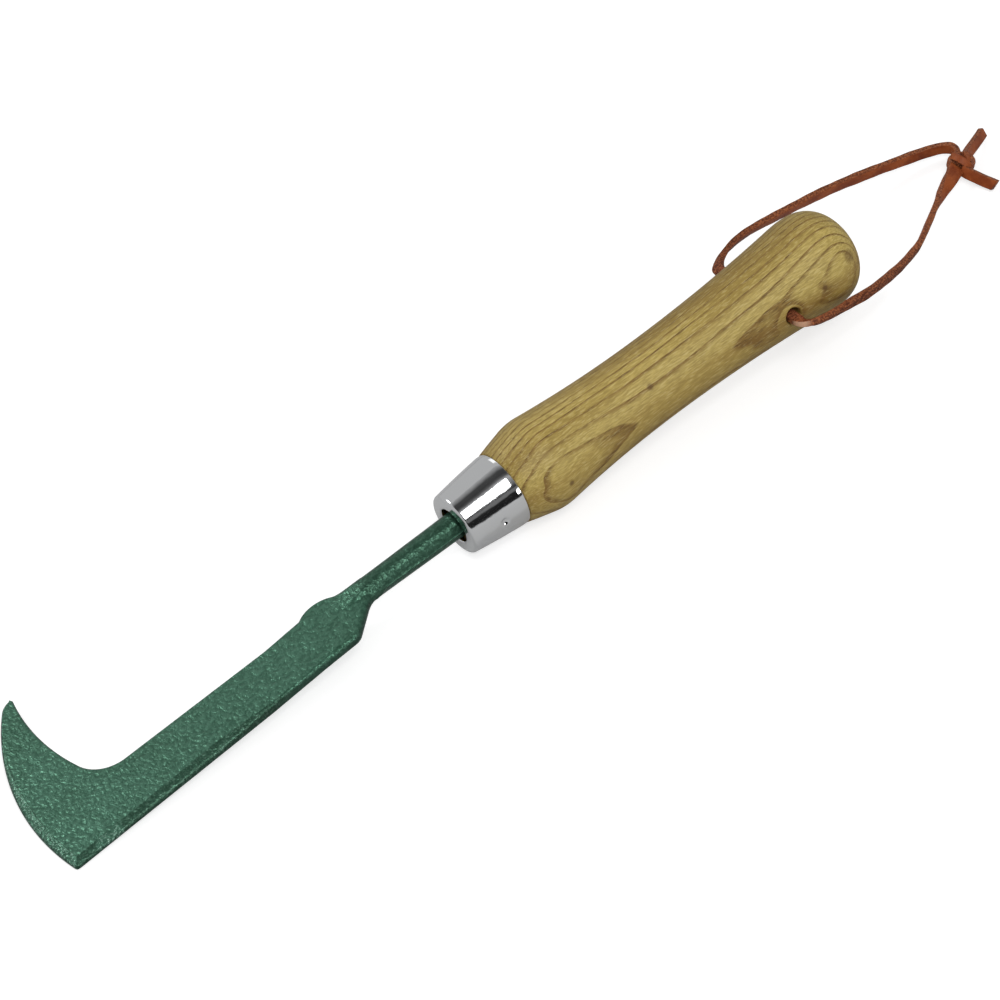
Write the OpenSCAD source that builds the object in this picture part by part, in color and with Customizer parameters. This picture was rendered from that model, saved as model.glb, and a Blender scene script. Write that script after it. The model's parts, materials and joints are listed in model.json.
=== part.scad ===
// Patio knife: a forged weeding hook with a round neck and a tang, a drawn
// metal ferrule, a turned wooden handle and one leather lace tied in a loop.
//
// Tool axes: x runs along the handle, from the blade (negative) to the butt,
// y runs across the blade towards the tip of the hook, z is square to the
// blade. x = 0 is the front face of the ferrule. lay() then sets the knife
// down as it rests on a table, on the front swell of the handle and on the
// outer edge of the blade.

/* [Blade] */
// Length from the ferrule to the outermost point of the blade
blade_reach = 171; // [155:0.2:195]
// Length from the ferrule to the hump of the shoulder
shoulder_reach = 53.3; // [48:0.5:60]
// Thickness of the blade at the shoulder
blade_t_shoulder = 4.2; // [3.4:0.1:5.4]
// Thickness of the blade at its outer edge
blade_t_end = 2.6; // [2:0.1:3.2]
// Height of the upper edge over the handle axis at the inner corner
upper_edge_y = 2.5; // [1:0.25:5]
// Depth of the lower edge under the handle axis at the shoulder
lower_edge_y = 16; // [14:0.5:19]
// Depth of the lower edge under the handle axis at the heel
heel_y = 22.5; // [19:0.5:27]
// Rounding of the heel's corner
heel_round = 1.2; // [0.6:0.1:3]
// Height of the shoulder's hump over the handle axis
hump_y = 7.2; // [6:0.1:9]
// Radius of the hump
hump_r = 12.2; // [11:0.2:14]

/* [Hook] */
// Height of the hook's tip over the handle axis
hook_y = 54; // [48:0.5:62]
// Width across the hook at its narrow middle
hook_w = 15; // [12:0.2:18]
// Radius of the outer edge
outer_edge_r = 97.6; // [90:1:120]
// Depth of the outermost point under the handle axis
outermost_y = 9.4; // [6:0.2:14]
// Radius of the hook's hollow inner edge
inner_edge_r = 87; // [75:1:110]
// Radius of the inner corner between hook and blade
inner_corner_r = 12; // [8:0.5:14]
// Radius of the nose at the tip
nose_r = 7.4; // [6:0.2:9]

/* [Cutting edges] */
// Width of the ground bevel
bevel_w = 2.9; // [2:0.1:4]
// Thickness of the flat left at the cutting edge
edge_land = 0.7; // [0.4:0.1:1]

/* [Neck and tang] */
// Diameter of the neck at the ferrule
neck_d_ferrule = 9.2; // [8.4:0.1:10.4]
// Diameter of the neck at the blade
neck_d_blade = 8.6; // [8:0.1:9.8]
// Side of the square tang where it enters the wood
tang_side = 6.2; // [5:0.1:6.4]
// Side of the tang at its end
tang_end_side = 3.4; // [2.5:0.1:4.5]
// Length of the square tang
tang_len = 78; // [60:1:90]
// Clearance between the tang and its socket in the wood
tang_gap = 0.1; // [0.05:0.01:0.2]

/* [Ferrule] */
// Length of the ferrule
ferrule_len = 21.6; // [18:0.2:26]
// Outer diameter at its front
ferrule_d_front = 22; // [20:0.2:24]
// Outer diameter at the wood
ferrule_d_back = 27; // [25.6:0.2:28]
// Thickness of the ferrule's metal
ferrule_t = 1; // [0.8:0.1:1.3]
// Rounding of the front corner
ferrule_round = 1.4; // [1.3:0.1:2]
// Diameter of the hole in the front face, round the neck
ferrule_hole_d = 12.8; // [11.6:0.2:14]
// Distance of the locking dimple from the wood
dimple_from_wood = 9.3; // [7:0.1:11]
// Radius of the locking dimple
dimple_r = 1.1; // [0.8:0.1:1.4]
// Depth of the locking dimple
dimple_depth = 0.6; // [0.4:0.1:0.7]
// Clearance between the ferrule and the wood under it
ferrule_gap = 0.1; // [0.05:0.01:0.2]

/* [Handle] */
// Length of the wood that shows, from the ferrule to the butt
wood_len = 148.4; // [130:1:165]
// Diameter of the wood beside the ferrule
shoulder_d = 27.2; // [26.4:0.1:28.4]
// Diameter of the swell behind the ferrule
swell_d = 33.2; // [31.8:0.1:35]
// Distance of the swell from the ferrule
swell_at = 14.9; // [13:0.1:17]
// Diameter of the waist
waist_d = 28; // [26.6:0.1:29.6]
// Distance of the waist from the ferrule
waist_at = 64.4; // [56:0.5:72]
// Largest diameter of the butt
butt_d = 34.8; // [32.8:0.1:37]
// Length of the rounded end of the butt
butt_len = 15.6; // [13:0.1:19]
// Radius of the crown that joins the swell to both its slopes
swell_crown_r = 22; // [18:0.5:26]
// Radius of the crown that joins the grip to the butt
butt_crown_r = 45; // [35:1:55]
// Steepness of the slope between the ferrule and the swell, in degrees
front_slope_a = 14; // [12:0.5:16]

/* [Hanging hole] */
// Diameter of the hole for the lace
hole_d = 5.8; // [5.4:0.1:7]
// Distance of the hole from the end of the butt
hole_from_end = 35.2; // [31:0.1:40]
// Width of the softened rim of the hole
hole_rim = 0.9; // [0.5:0.1:1.2]

/* [Lace] */
// Width of the leather lace
lace_w = 4; // [3.6:0.1:4.4]
// Thickness of the leather lace
lace_t = 2.1; // [1.8:0.1:2.4]
// Diameter of the knot
knot_d = 9.8; // [9.4:0.1:10.6]

/* [Hidden] */
$fn = 96;

green_paint = [0.28, 0.41, 0.35];
bright_metal = [0.80, 0.81, 0.82];
ash_wood = [0.66, 0.58, 0.36];
brown_leather = [0.58, 0.32, 0.20];

// Places along the handle
butt_x = ferrule_len + wood_len;
swell_x = ferrule_len + swell_at;
waist_x = ferrule_len + waist_at;
dome_x = butt_x - butt_len;
hole_x = butt_x - hole_from_end;
shoulder_r = shoulder_d / 2;
swell_r = swell_d / 2;
waist_r = waist_d / 2;
butt_r = butt_d / 2;

// Lying pose: the angle at which the table touches both the crown of the
// swell and the lower corner of the outer edge
outer_x = -blade_reach;
contact_span = swell_x - outer_x;
contact_drop = swell_r - swell_crown_r - blade_t_end / 2;
pitch = atan2(contact_drop, contact_span) + asin(swell_crown_r / norm([contact_span, contact_drop]));
axis_z = (swell_r - swell_crown_r) * cos(pitch) + swell_crown_r - swell_x * sin(pitch);

// Box of the knife without its lace, which sets the origin. The butt's end is
// a superellipse, and dome_reach is how far it goes past its root when tilted
dome_power = 2.4;
dual_power = dome_power / (dome_power - 1);
dome_reach = pow(pow(butt_len * cos(pitch), dual_power) + pow(butt_r * sin(pitch), dual_power), 1 / dual_power);
box_high = [dome_x * cos(pitch) + dome_reach, hook_y];
box_low = [outer_x * cos(pitch) + (blade_t_end / 2 - edge_land) * sin(pitch), -heel_y];
mid = (box_high + box_low) / 2;

// Centre of the hanging hole in the finished part
hole_at = [hole_x * cos(pitch) - mid[0], -mid[1], hole_x * sin(pitch) + axis_z];

// Sets the knife down on z = 0 with its origin under the middle of its box
module lay() {
    translate([-mid[0], -mid[1], axis_z])
        rotate([0, -pitch, 0])
            children();
}

// Points on an arc round a centre, both ends included
function arc(centre, r, from, to, steps) =
    [for (i = [0 : steps]) let (a = from + (to - from) * i / steps) centre + r * [cos(a), sin(a)]];

// Solid of revolution round the handle axis, from a profile of [radius, x]
module turned(profile) {
    rotate([0, 90, 0])
        rotate_extrude()
            polygon(profile);
}

// Square bar along the handle axis that tapers from one side to another
module tapered_bar(from_x, to_x, from_side, to_side) {
    flank = [[from_x, -from_side / 2], [to_x, -to_side / 2], [to_x, to_side / 2], [from_x, from_side / 2]];
    intersection() {
        linear_extrude(height = 2 * from_side, center = true) polygon(flank);
        rotate([90, 0, 0]) linear_extrude(height = 2 * from_side, center = true) polygon(flank);
    }
}

// The blade's thickness shrinks evenly from the shoulder to the outer edge
shoulder_x = -shoulder_reach;
thin_per_mm = (blade_t_shoulder - blade_t_end) / (shoulder_x - outer_x);
function blade_t(x) = blade_t_end + thin_per_mm * (x - outer_x);

// Outer edge of the blade, one arc centred level with its outermost point,
// and the nose and the heel that round its ends from within
outer_c = [outer_x + outer_edge_r, -outermost_y];
function on_outer(inset, y) = [outer_c[0] - sqrt(pow(outer_edge_r - inset, 2) - pow(y - outer_c[1], 2)), y];
nose_c = on_outer(nose_r, hook_y - nose_r);
nose_a = 180 - asin((nose_c[1] - outer_c[1]) / (outer_edge_r - nose_r));
heel_c = on_outer(heel_round, heel_round - heel_y);
heel_a = 180 - asin((heel_c[1] - outer_c[1]) / (outer_edge_r - heel_round));

// Inner edge of the hook, an arc whose hollow is level with hollow_y, and the
// inner corner, an arc that touches it and the upper edge from within
hollow_y = 31;
inner_c = on_outer(0, hollow_y) + [hook_w + inner_edge_r, 0];
corner_c_y = upper_edge_y + inner_corner_r;
corner_a = 180 + asin((hollow_y - corner_c_y) / (inner_edge_r - inner_corner_r));
corner_c = [inner_c[0] + (inner_edge_r - inner_corner_r) * cos(corner_a), corner_c_y];

// The tip is where the nose crosses the inner edge
tip_span = norm(nose_c - inner_c);
tip_turn = acos((tip_span * tip_span + inner_edge_r * inner_edge_r - nose_r * nose_r) / (2 * tip_span * inner_edge_r));
tip_a = atan2(nose_c[1] - inner_c[1], nose_c[0] - inner_c[0]) - tip_turn;
tip = inner_c + inner_edge_r * [cos(tip_a), sin(tip_a)];
nose_from_a = atan2(tip[1] - nose_c[1], tip[0] - nose_c[0]);

// Shoulder on the hook's side: a hump that flares out of the neck and ends in
// a small step
plate_side_y = 4;
flare_r = 8;
hump_half = 7.2;
hump_c = [shoulder_x, hump_y - hump_r];
flare_rise = plate_side_y + flare_r - hump_c[1];
flare_c = [shoulder_x + sqrt(pow(hump_r + flare_r, 2) - flare_rise * flare_rise), plate_side_y + flare_r];
flare_a = atan2(flare_rise, flare_c[0] - shoulder_x);
step_a = 180 - acos(hump_half / hump_r);
upper_edge_from = [shoulder_x - 22.7, upper_edge_y + 0.9];

// Shoulder on the other side: a slanted drop between a hollow and a corner
slant_a = 41;
drop_r = 7;
low_corner_r = 5.5;
drop_c = [shoulder_x + 18.7, -plate_side_y - drop_r];
low_corner_y = low_corner_r - lower_edge_y;
low_corner_x = drop_c[0] - (low_corner_r + drop_r + (drop_c[1] - low_corner_y) * cos(slant_a)) / sin(slant_a);
plate_root_x = shoulder_x + 21;

blade_outline = concat(
    [[plate_root_x, plate_side_y]],
    arc(flare_c, flare_r, 270, 180 + flare_a, 5),
    arc(hump_c, hump_r, flare_a, step_a, 10),
    [upper_edge_from],
    arc(corner_c, inner_corner_r, 270, corner_a, 10),
    arc(inner_c, inner_edge_r, corner_a, tip_a, 12),
    arc(nose_c, nose_r, nose_from_a, nose_a, 6),
    arc(outer_c, outer_edge_r, nose_a, heel_a, 24),
    arc(heel_c, heel_round, heel_a, 270, 4),
    arc([low_corner_x, low_corner_y], low_corner_r, 270, 270 + slant_a, 5),
    arc(drop_c, drop_r, 90 + slant_a, 90, 5),
    [[plate_root_x, -plate_side_y]]
);

// The bevel is ground on the face that looks up, at one angle, and runs out
// where its width goes to nothing. Its cutter is a wedge swept along stations,
// each [edge point, unit vector into the blade, width of the bevel there]
function bevel_slope(x) = (blade_t(x) - edge_land) / bevel_w;
function wedge(station) =
    let (e = station[0], into = station[1], w = station[2], s = bevel_slope(e[0]), far = 4)
    let (top = blade_t(e[0]) / 2, outside = e - far * into, inside = e + (w + far) * into)
    [[outside[0], outside[1], top - s * (w + far)],
     [inside[0], inside[1], top + s * far],
     [outside[0], outside[1], top + s * far]];

module bevel_cutter(stations) {
    last = len(stations) - 1;
    points = [for (s = stations) each wedge(s)];
    polyhedron(points, concat(
        [[0, 1, 2], [3 * last + 2, 3 * last + 1, 3 * last]],
        [for (i = [0 : last - 1], j = [0 : 2])
            let (k = (j + 1) % 3)
            each [[3 * i + j, 3 * i + 3 + j, 3 * i + 3 + k], [3 * i + j, 3 * i + 3 + k, 3 * i + k]]]));
}

// Stations along the lower edge, from past the heel to the run-out
run_out_x = shoulder_x - 22.5;
full_from_x = shoulder_x - 54;
lower_dir = ([low_corner_x, -lower_edge_y] - [heel_c[0], -heel_y])
          / norm([low_corner_x, -lower_edge_y] - [heel_c[0], -heel_y]);
lower_into = [-lower_dir[1], lower_dir[0]];
function lower_station(x) =
    let (along = (x - heel_c[0]) / lower_dir[0], share = (run_out_x - x) / (run_out_x - full_from_x))
    [[heel_c[0], -heel_y] + along * lower_dir, lower_into, bevel_w * min(1, share)];
lower_bevel = [for (x = [outer_x - 4, full_from_x, run_out_x]) lower_station(x)];

// Stations down the outer edge, from the nose to under the heel
fade_from_y = hook_y - 43;
fade_to_y = hook_y - 3;
outer_steps = 16;
function outer_station(y) =
    let (e = on_outer(0, y), share = (fade_to_y - y) / (fade_to_y - fade_from_y))
    [e, (outer_c - e) / outer_edge_r, bevel_w * min(1, share)];
outer_bevel = [for (i = [0 : outer_steps])
    outer_station(fade_to_y - (fade_to_y + heel_y + 4) * i / outer_steps)];

// Neck and tang. The round neck is forged flat into the blade, between two
// slanted faces that run from its full thickness down into the blade's
neck_in = 5;
neck_straight_x = shoulder_x + 22.5;
flat_from_x = shoulder_x + 17.5;
flat_to_x = shoulder_x + 4;
flat_to_half = 0.45 * blade_t_shoulder;
flat_slope = (neck_d_blade / 2 - flat_to_half) / (flat_from_x - flat_to_x);
flat_end_half = flat_to_half + flat_slope * (neck_straight_x - flat_to_x);
neck_flats = [[flat_to_x, -flat_to_half], [neck_straight_x, -flat_end_half],
              [neck_straight_x, flat_end_half], [flat_to_x, flat_to_half]];

module blade() {
    color(green_paint) lay() {
        difference() {
            intersection() {
                linear_extrude(height = 3 * blade_t_shoulder, center = true) polygon(blade_outline);
                rotate([90, 0, 0])
                    linear_extrude(height = 4 * hook_y, center = true)
                        polygon([for (p = [[outer_x - 9, -1], [0, -1], [0, 1], [outer_x - 9, 1]])
                            [p[0], p[1] * blade_t(p[0]) / 2]]);
            }
            bevel_cutter(lower_bevel);
            bevel_cutter(outer_bevel);
        }
        turned([[0, neck_in], [neck_d_ferrule / 2, neck_in], [neck_d_ferrule / 2, 0],
                [neck_d_blade / 2, neck_straight_x], [0, neck_straight_x]]);
        intersection() {
            translate([flat_to_x, 0, 0])
                rotate([0, 90, 0])
                    cylinder(d = neck_d_blade, h = neck_straight_x - flat_to_x);
            rotate([90, 0, 0]) linear_extrude(height = 2 * neck_d_blade, center = true) polygon(neck_flats);
        }
        tapered_bar(neck_in - 0.5, neck_in + tang_len, tang_side, tang_end_side);
    }
}

// Ferrule: an open cone of sheet metal with a turned-in front face
ferrule_taper = (ferrule_d_back - ferrule_d_front) / 2 / ferrule_len;
function ferrule_r(x) = ferrule_d_front / 2 + ferrule_taper * x;
function ferrule_inner_r(x) = ferrule_r(x) - ferrule_t;
round_c = [ferrule_r(ferrule_round) - ferrule_round, ferrule_round];
inner_round = ferrule_round - ferrule_t;
ferrule_outside = concat(
    [[0, 0]],
    arc(round_c, ferrule_round, -90, 0, 8),
    [[ferrule_r(ferrule_len), ferrule_len], [0, ferrule_len]]
);
ferrule_inside = concat(
    [[0, ferrule_t]],
    arc(round_c, inner_round, -90, 0, 4),
    [[ferrule_inner_r(ferrule_len), ferrule_len], [0, ferrule_len]]
);

// Locking dimple, punched through the metal into the wood beside the blade's
// lower edge, in line with the front mouth of the hanging hole
dimple_x = ferrule_len - dimple_from_wood;
dimple_sphere_r = (dimple_r * dimple_r + dimple_depth * dimple_depth) / (2 * dimple_depth);
dimple_c = [dimple_x, -(ferrule_r(dimple_x) + dimple_sphere_r - dimple_depth), 0];

module dimple(grow) {
    translate(dimple_c) sphere(dimple_sphere_r + grow);
}

module ferrule() {
    color(bright_metal) lay() {
        difference() {
            turned(ferrule_outside);
            difference() {
                turned(concat(ferrule_inside, [[0, ferrule_t]]));
                dimple(ferrule_t);
            }
            dimple(0);
            rotate([0, 90, 0]) cylinder(d = ferrule_hole_d, h = 3 * ferrule_t, center = true);
            translate([ferrule_len, 0, 0]) rotate([0, 90, 0]) cylinder(r = ferrule_d_back, h = 1);
        }
    }
}

// Handle profile. Each side of the waist is a wide hollow arc that runs into
// the crown of the swell or of the butt, level at both its ends
function hollow_r(span, rise, crown_r) = (span * span + rise * rise) / (2 * rise) - crown_r;
front_hollow_r = hollow_r(waist_x - swell_x, swell_r - waist_r, swell_crown_r);
back_hollow_r = hollow_r(dome_x - waist_x, butt_r - waist_r, butt_crown_r);
front_turn = asin((waist_x - swell_x) / (front_hollow_r + swell_crown_r));
back_turn = asin((dome_x - waist_x) / (back_hollow_r + butt_crown_r));

tenon_x = 3;
tenon_shy = ferrule_gap;
function tenon_r(x) = ferrule_inner_r(x) - tenon_shy;

dome_steps = 14;
handle_profile = concat(
    [[0, tenon_x], [tenon_r(tenon_x), tenon_x], [tenon_r(ferrule_len), ferrule_len], [shoulder_r, ferrule_len]],
    [for (p = arc([swell_x, swell_r - swell_crown_r], swell_crown_r, 90 + front_slope_a, 90 - front_turn, 8))
        [p[1], p[0]]],
    [for (p = arc([waist_x, waist_r + front_hollow_r], front_hollow_r, 270 - front_turn, 270, 10)) [p[1], p[0]]],
    [for (p = arc([waist_x, waist_r + back_hollow_r], back_hollow_r, 270, 270 + back_turn, 14)) [p[1], p[0]]],
    [for (p = arc([dome_x, butt_r - butt_crown_r], butt_crown_r, 90 + back_turn, 90, 4)) [p[1], p[0]]],
    [for (i = [1 : dome_steps]) let (a = 90 * i / dome_steps)
        [butt_r * pow(cos(a), 2 / dome_power), dome_x + butt_len * pow(sin(a), 2 / dome_power)]]
);

// Radius of the wood where the hanging hole comes out
mouth_r = waist_r + back_hollow_r - sqrt(pow(back_hollow_r, 2) - pow(hole_x - waist_x, 2));

// Room round the root of the neck, ahead of the socket
mouth_room_d = ferrule_hole_d;
mouth_room_x = neck_in + 0.2;

module handle() {
    color(ash_wood) lay() {
        difference() {
            turned(handle_profile);
            tapered_bar(mouth_room_x - 1, neck_in + tang_len + 1,
                        tang_side + 2 * tang_gap, tang_end_side + 2 * tang_gap);
            rotate([0, 90, 0]) cylinder(d = mouth_room_d, h = mouth_room_x);
            dimple(ferrule_t + ferrule_gap);
            translate([hole_x, 0, 0]) rotate([90, 0, 0]) cylinder(d = hole_d, h = 3 * butt_d, center = true);
            for (side = [-1, 1])
                translate([hole_x, side * (mouth_r + 1), 0])
                    rotate([side * 90, 0, 0])
                        cylinder(r1 = hole_d / 2 + 1 + hole_rim, r2 = hole_d / 2, h = 1 + hole_rim);
        }
    }
}

// Lace. Its points are measured from the centre of the hanging hole. The last
// number of a point is how far the lace's width leans from upright there, in
// degrees. It lies flat through the hole and turns on edge outside it
lace_clear_y = 17;
hole_run_at = [-0.4, 0, -0.3];
front_route = [[-0.4, -17, -0.3, 90], [-0.2, -18.3, -0.5, 80], [0.4, -19.5, -0.9, 70], [1.6, -20.4, -1.4, 60],
               [3.4, -21, -1.9, 50], [6, -21.2, -2.6, 42], [9.6, -21, -3.4, 36], [14, -20.4, -4.4, 32],
               [20.6, -19.5, -5.6, 24], [28, -18.7, -7, 18], [35.4, -16.8, -8.5, 20], [41, -14.8, -9.9, 21],
               [47.4, -12.4, -11.4, 22], [54, -9.2, -13, 24], [61.6, -5.2, -14.7, 27], [68, -0.6, -16, 30],
               [74, 3.8, -16.9, 29], [80.5, 8.6, -17.8, 24], [86.5, 12.6, -18.3, 16], [92.5, 16, -18.7, -2],
               [99.8, 19.4, -19, -24]];
back_route = [[-0.4, 17, -0.3, 90], [-0.6, 18.6, -0.4, 84], [-0.8, 20.4, -0.6, 76], [-0.8, 22.4, -0.9, 66],
              [0, 24.6, -1.3, 56], [1.8, 26.8, -1.7, 48], [4.4, 29, -2.1, 42], [8.2, 31.4, -2.7, 38],
              [12.6, 33.4, -3.4, 35], [17.8, 35, -4.2, 33], [25, 36.4, -5.5, 31], [32, 37.2, -6.9, 29],
              [39, 37.9, -8.3, 26], [46.5, 38.6, -9.8, 23], [54.5, 39.2, -11.4, 20], [63, 39.5, -13.1, 17],
              [71.5, 39.4, -14.8, 14], [80, 38.8, -16.3, 12], [88, 37.7, -17.5, 10], [95.5, 36.4, -18.4, 8],
              [101.4, 34.7, -18.9, 4], [105, 32.8, -19, 0], [107, 30.4, -19, 0], [107, 27.6, -19, 0],
              [105.6, 24.8, -19, 0]];
upper_tail_route = [[107.6, 22.8, -19, 16], [111.6, 25.8, -19.5, 16], [116.2, 28.8, -20.2, 14], [121, 31.2, -20.9, 10]];
lower_tail_route = [[102.6, 17.2, -19.2, -10], [101.8, 13.4, -19.7, -10], [102.4, 9, -20.4, -10], [103.8, 4.6, -21.1, -10]];
knot_at = [103.7, 21.4, -19];

// The lace's section: a flat strip with its corners cut, 8 points
lace_cut = 0.35;
lace_section = [for (q = [[1, 1], [-1, 1], [-1, -1], [1, -1]])
    each (q[0] * q[1] > 0
        ? [[q[0] * lace_t / 2, q[1] * (lace_w / 2 - lace_cut)], [q[0] * (lace_t / 2 - lace_cut), q[1] * lace_w / 2]]
        : [[q[0] * (lace_t / 2 - lace_cut), q[1] * lace_w / 2], [q[0] * lace_t / 2, q[1] * (lace_w / 2 - lace_cut)]])];

function unit(v) = v / norm(v);
function place(p) = [p[0], p[1], p[2]];

// Ring of the section at point i of a route, square to the way the lace runs;
// at the first point it runs along start_dir
function lace_ring(route, i, start_dir) =
    let (last = len(route) - 1, lean = route[i][3])
    let (along = i == 0 ? start_dir : unit(place(route[min(i + 1, last)]) - place(route[i - 1])))
    let (up = unit([0, 0, 1] - along[2] * along), side = cross(up, along))
    let (wide = cos(lean) * up - sin(lean) * side, thick = cos(lean) * side + sin(lean) * up)
    [for (q = lace_section) place(route[i]) + q[0] * thick + q[1] * wide];
function first_way(route) = unit(place(route[1]) - place(route[0]));

module lace_tube(route, start_dir) {
    n = len(lace_section);
    last = len(route) - 1;
    rings = [for (i = [0 : last]) each lace_ring(route, i, start_dir)];
    translate(hole_at)
        polyhedron(rings, concat(
            [[for (j = [0 : n - 1]) j]],
            [[for (j = [n - 1 : -1 : 0]) n * last + j]],
            [for (i = [0 : last - 1], j = [0 : n - 1])
                let (k = (j + 1) % n)
                each [[n * i + j, n * (i + 1) + j, n * (i + 1) + k], [n * i + j, n * (i + 1) + k, n * i + k]]]));
}

module lace_hole_run() {
    color(brown_leather)
        translate(hole_at + hole_run_at)
            rotate([90, 0, 0])
                linear_extrude(height = 2 * lace_clear_y, center = true)
                    rotate(90)
                        polygon(lace_section);
}

module lace_front_run() {
    color(brown_leather) lace_tube(front_route, [0, -1, 0]);
}

module lace_back_run() {
    color(brown_leather) lace_tube(back_route, [0, 1, 0]);
}

module lace_upper_tail() {
    color(brown_leather) lace_tube(upper_tail_route, first_way(upper_tail_route));
}

module lace_lower_tail() {
    color(brown_leather) lace_tube(lower_tail_route, first_way(lower_tail_route));
}

// One turn of the lace round the knot, outer diameter d, turned level by an
// angle and then leaned over
module knot_turn(d, level, lean) {
    rotate([lean, 0, level])
        rotate([90, 0, 0])
            rotate_extrude()
                translate([d / 2 - lace_t, -lace_w / 2])
                    square([lace_t, lace_w]);
}

module lace_knot() {
    color(brown_leather)
        translate(hole_at + knot_at) {
            knot_turn(knot_d, 30, 0);
            knot_turn(knot_d - lace_t / 2, 120, 20);
            sphere(d = knot_d - lace_t);
        }
}

blade();
ferrule();
handle();
lace_hole_run();
lace_front_run();
lace_back_run();
lace_knot();
lace_upper_tail();
lace_lower_tail();
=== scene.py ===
# %% [markdown]
# # A patio knife, dressed over its solid model
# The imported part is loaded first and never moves. Its nodes say where each piece lies and which body
# carries it, so every surface below is worked out in the same frame. Lengths are in millimetres, as
# on a workshop drawing, and become metres when a mesh is made.

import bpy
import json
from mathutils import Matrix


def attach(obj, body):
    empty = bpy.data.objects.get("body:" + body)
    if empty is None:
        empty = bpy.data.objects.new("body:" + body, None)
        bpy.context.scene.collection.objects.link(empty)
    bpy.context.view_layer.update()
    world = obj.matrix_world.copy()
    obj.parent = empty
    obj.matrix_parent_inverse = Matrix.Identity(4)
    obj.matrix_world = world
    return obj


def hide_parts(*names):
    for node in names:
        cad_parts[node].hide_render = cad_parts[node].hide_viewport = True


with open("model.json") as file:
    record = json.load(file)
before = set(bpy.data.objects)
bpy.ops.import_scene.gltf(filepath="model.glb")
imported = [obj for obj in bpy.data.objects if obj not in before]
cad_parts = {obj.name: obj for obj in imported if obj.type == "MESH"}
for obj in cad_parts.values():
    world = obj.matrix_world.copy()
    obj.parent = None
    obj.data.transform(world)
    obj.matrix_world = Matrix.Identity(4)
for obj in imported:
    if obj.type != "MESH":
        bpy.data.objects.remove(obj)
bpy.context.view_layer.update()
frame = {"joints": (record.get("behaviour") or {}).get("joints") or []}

import json
import math

import bmesh
import bpy
import numpy as np
from mathutils import Matrix

MM = 0.001

# %% [markdown]
# ## Where the photographer stood
# A product is pictured from far away with a long lens, so that its far end doesn't shrink. The camera
# was found from the round ferrule and the round grip, whose ellipses fix the angle of view. The
# columns of its matrix are its right, its up and its backward direction.

# %% Camera
EYE = np.array([-556.7, -1087.6, 1063.2])
CAMERA_RIGHT = np.array([0.78013, -0.59837, -0.18265])
CAMERA_UP = np.array([0.51289, 0.44452, 0.73440])
CAMERA_BACK = np.array([-0.35825, -0.66660, 0.65368])


def new_object(name, data):
    """An object of that data, linked to the scene."""
    made = bpy.data.objects.new(name, data)
    bpy.context.scene.collection.objects.link(made)
    return made


def placed(right, up, back, place):
    """The matrix of an object that stands at a place, in metres, with these three axes."""
    return Matrix.Translation(place) @ Matrix(np.stack([right, up, back], 1).tolist()).to_4x4()


camera = new_object("camera", bpy.data.cameras.new("camera"))
camera.data.lens, camera.data.sensor_width = 177.4, 36.0
camera.data.clip_start, camera.data.clip_end = 0.05, 50.0
camera.matrix_world = placed(CAMERA_RIGHT, CAMERA_UP, CAMERA_BACK, (EYE * MM).tolist())
bpy.context.scene.camera = camera
print("camera is", round(float(np.linalg.norm(EYE))), "mm from the origin")

# %% [markdown]
# ## From the tool's axes to the table
# The knife was drawn along its own axis: x = 0 at the ferrule's front face, the blade towards
# negative x, the hook's tip towards positive y. On the table it rests on the swell of its grip and on
# the outer edge of its blade, which tilts the axis by about four degrees. One function tilts whole
# arrays of points.

# %% Tool axes
PITCH = math.radians(4.2336)
AXIS_HEIGHT = 13.9202
TOOL_MIDDLE = (-0.4136, 15.75)


def lay(points):
    """Turns points by the pitch about y, then shifts them so that the knife's box stands on z = 0."""
    x, y, z = np.moveaxis(np.asarray(points, float), -1, 0)
    return np.stack([x * math.cos(PITCH) - z * math.sin(PITCH) - TOOL_MIDDLE[0],
                     y - TOOL_MIDDLE[1],
                     x * math.sin(PITCH) + z * math.cos(PITCH) + AXIS_HEIGHT], -1)


# %% [markdown]
# ## Meshes from arrays
# Every surface is a grid of points, so one function writes its faces: a quad joins a point to its
# neighbours, and rows or columns may wrap round to close the surface. Another merges seams, turns all
# faces outwards and hands the piece to its body.

# %% Mesh helpers
def unit(vectors):
    """Each vector divided by its length."""
    return vectors / np.linalg.norm(vectors, axis=-1, keepdims=True)


def square_to(along, direction):
    """What a direction has beside each row of along, as unit vectors."""
    return unit(direction - (along @ direction)[:, None] * along)


def travelled(path):
    """The length of a path up to each of its points."""
    return np.cumsum(np.r_[0, np.linalg.norm(np.diff(path, axis=0), axis=1)])


def bow(x, centre, radius):
    """Height of a circle over its own centre at x, and 0 beside the circle."""
    return np.sqrt(np.maximum(radius ** 2 - (x - centre) ** 2, 0))


def grid_faces(rows, cols, wrap_rows=False, wrap_cols=True):
    """Quads over a rows by cols grid of points that are numbered row by row."""
    i, j = np.meshgrid(np.arange(rows - (not wrap_rows)), np.arange(cols - (not wrap_cols)), indexing="ij")
    below, beside = (i + 1) % rows, (j + 1) % cols
    quads = np.stack([i * cols + j, below * cols + j, below * cols + beside, i * cols + beside], -1)
    return quads.reshape(-1, 4)


def new_mesh(name, points, faces, marks):
    """A mesh whose points carry named values."""
    mesh = bpy.data.meshes.new(name)
    mesh.from_pydata(points, [], faces)
    for mark, values in marks.items():
        mesh.attributes.new(mark, "FLOAT", "POINT").data.foreach_set("value", np.float32(values))
    return mesh


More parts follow.
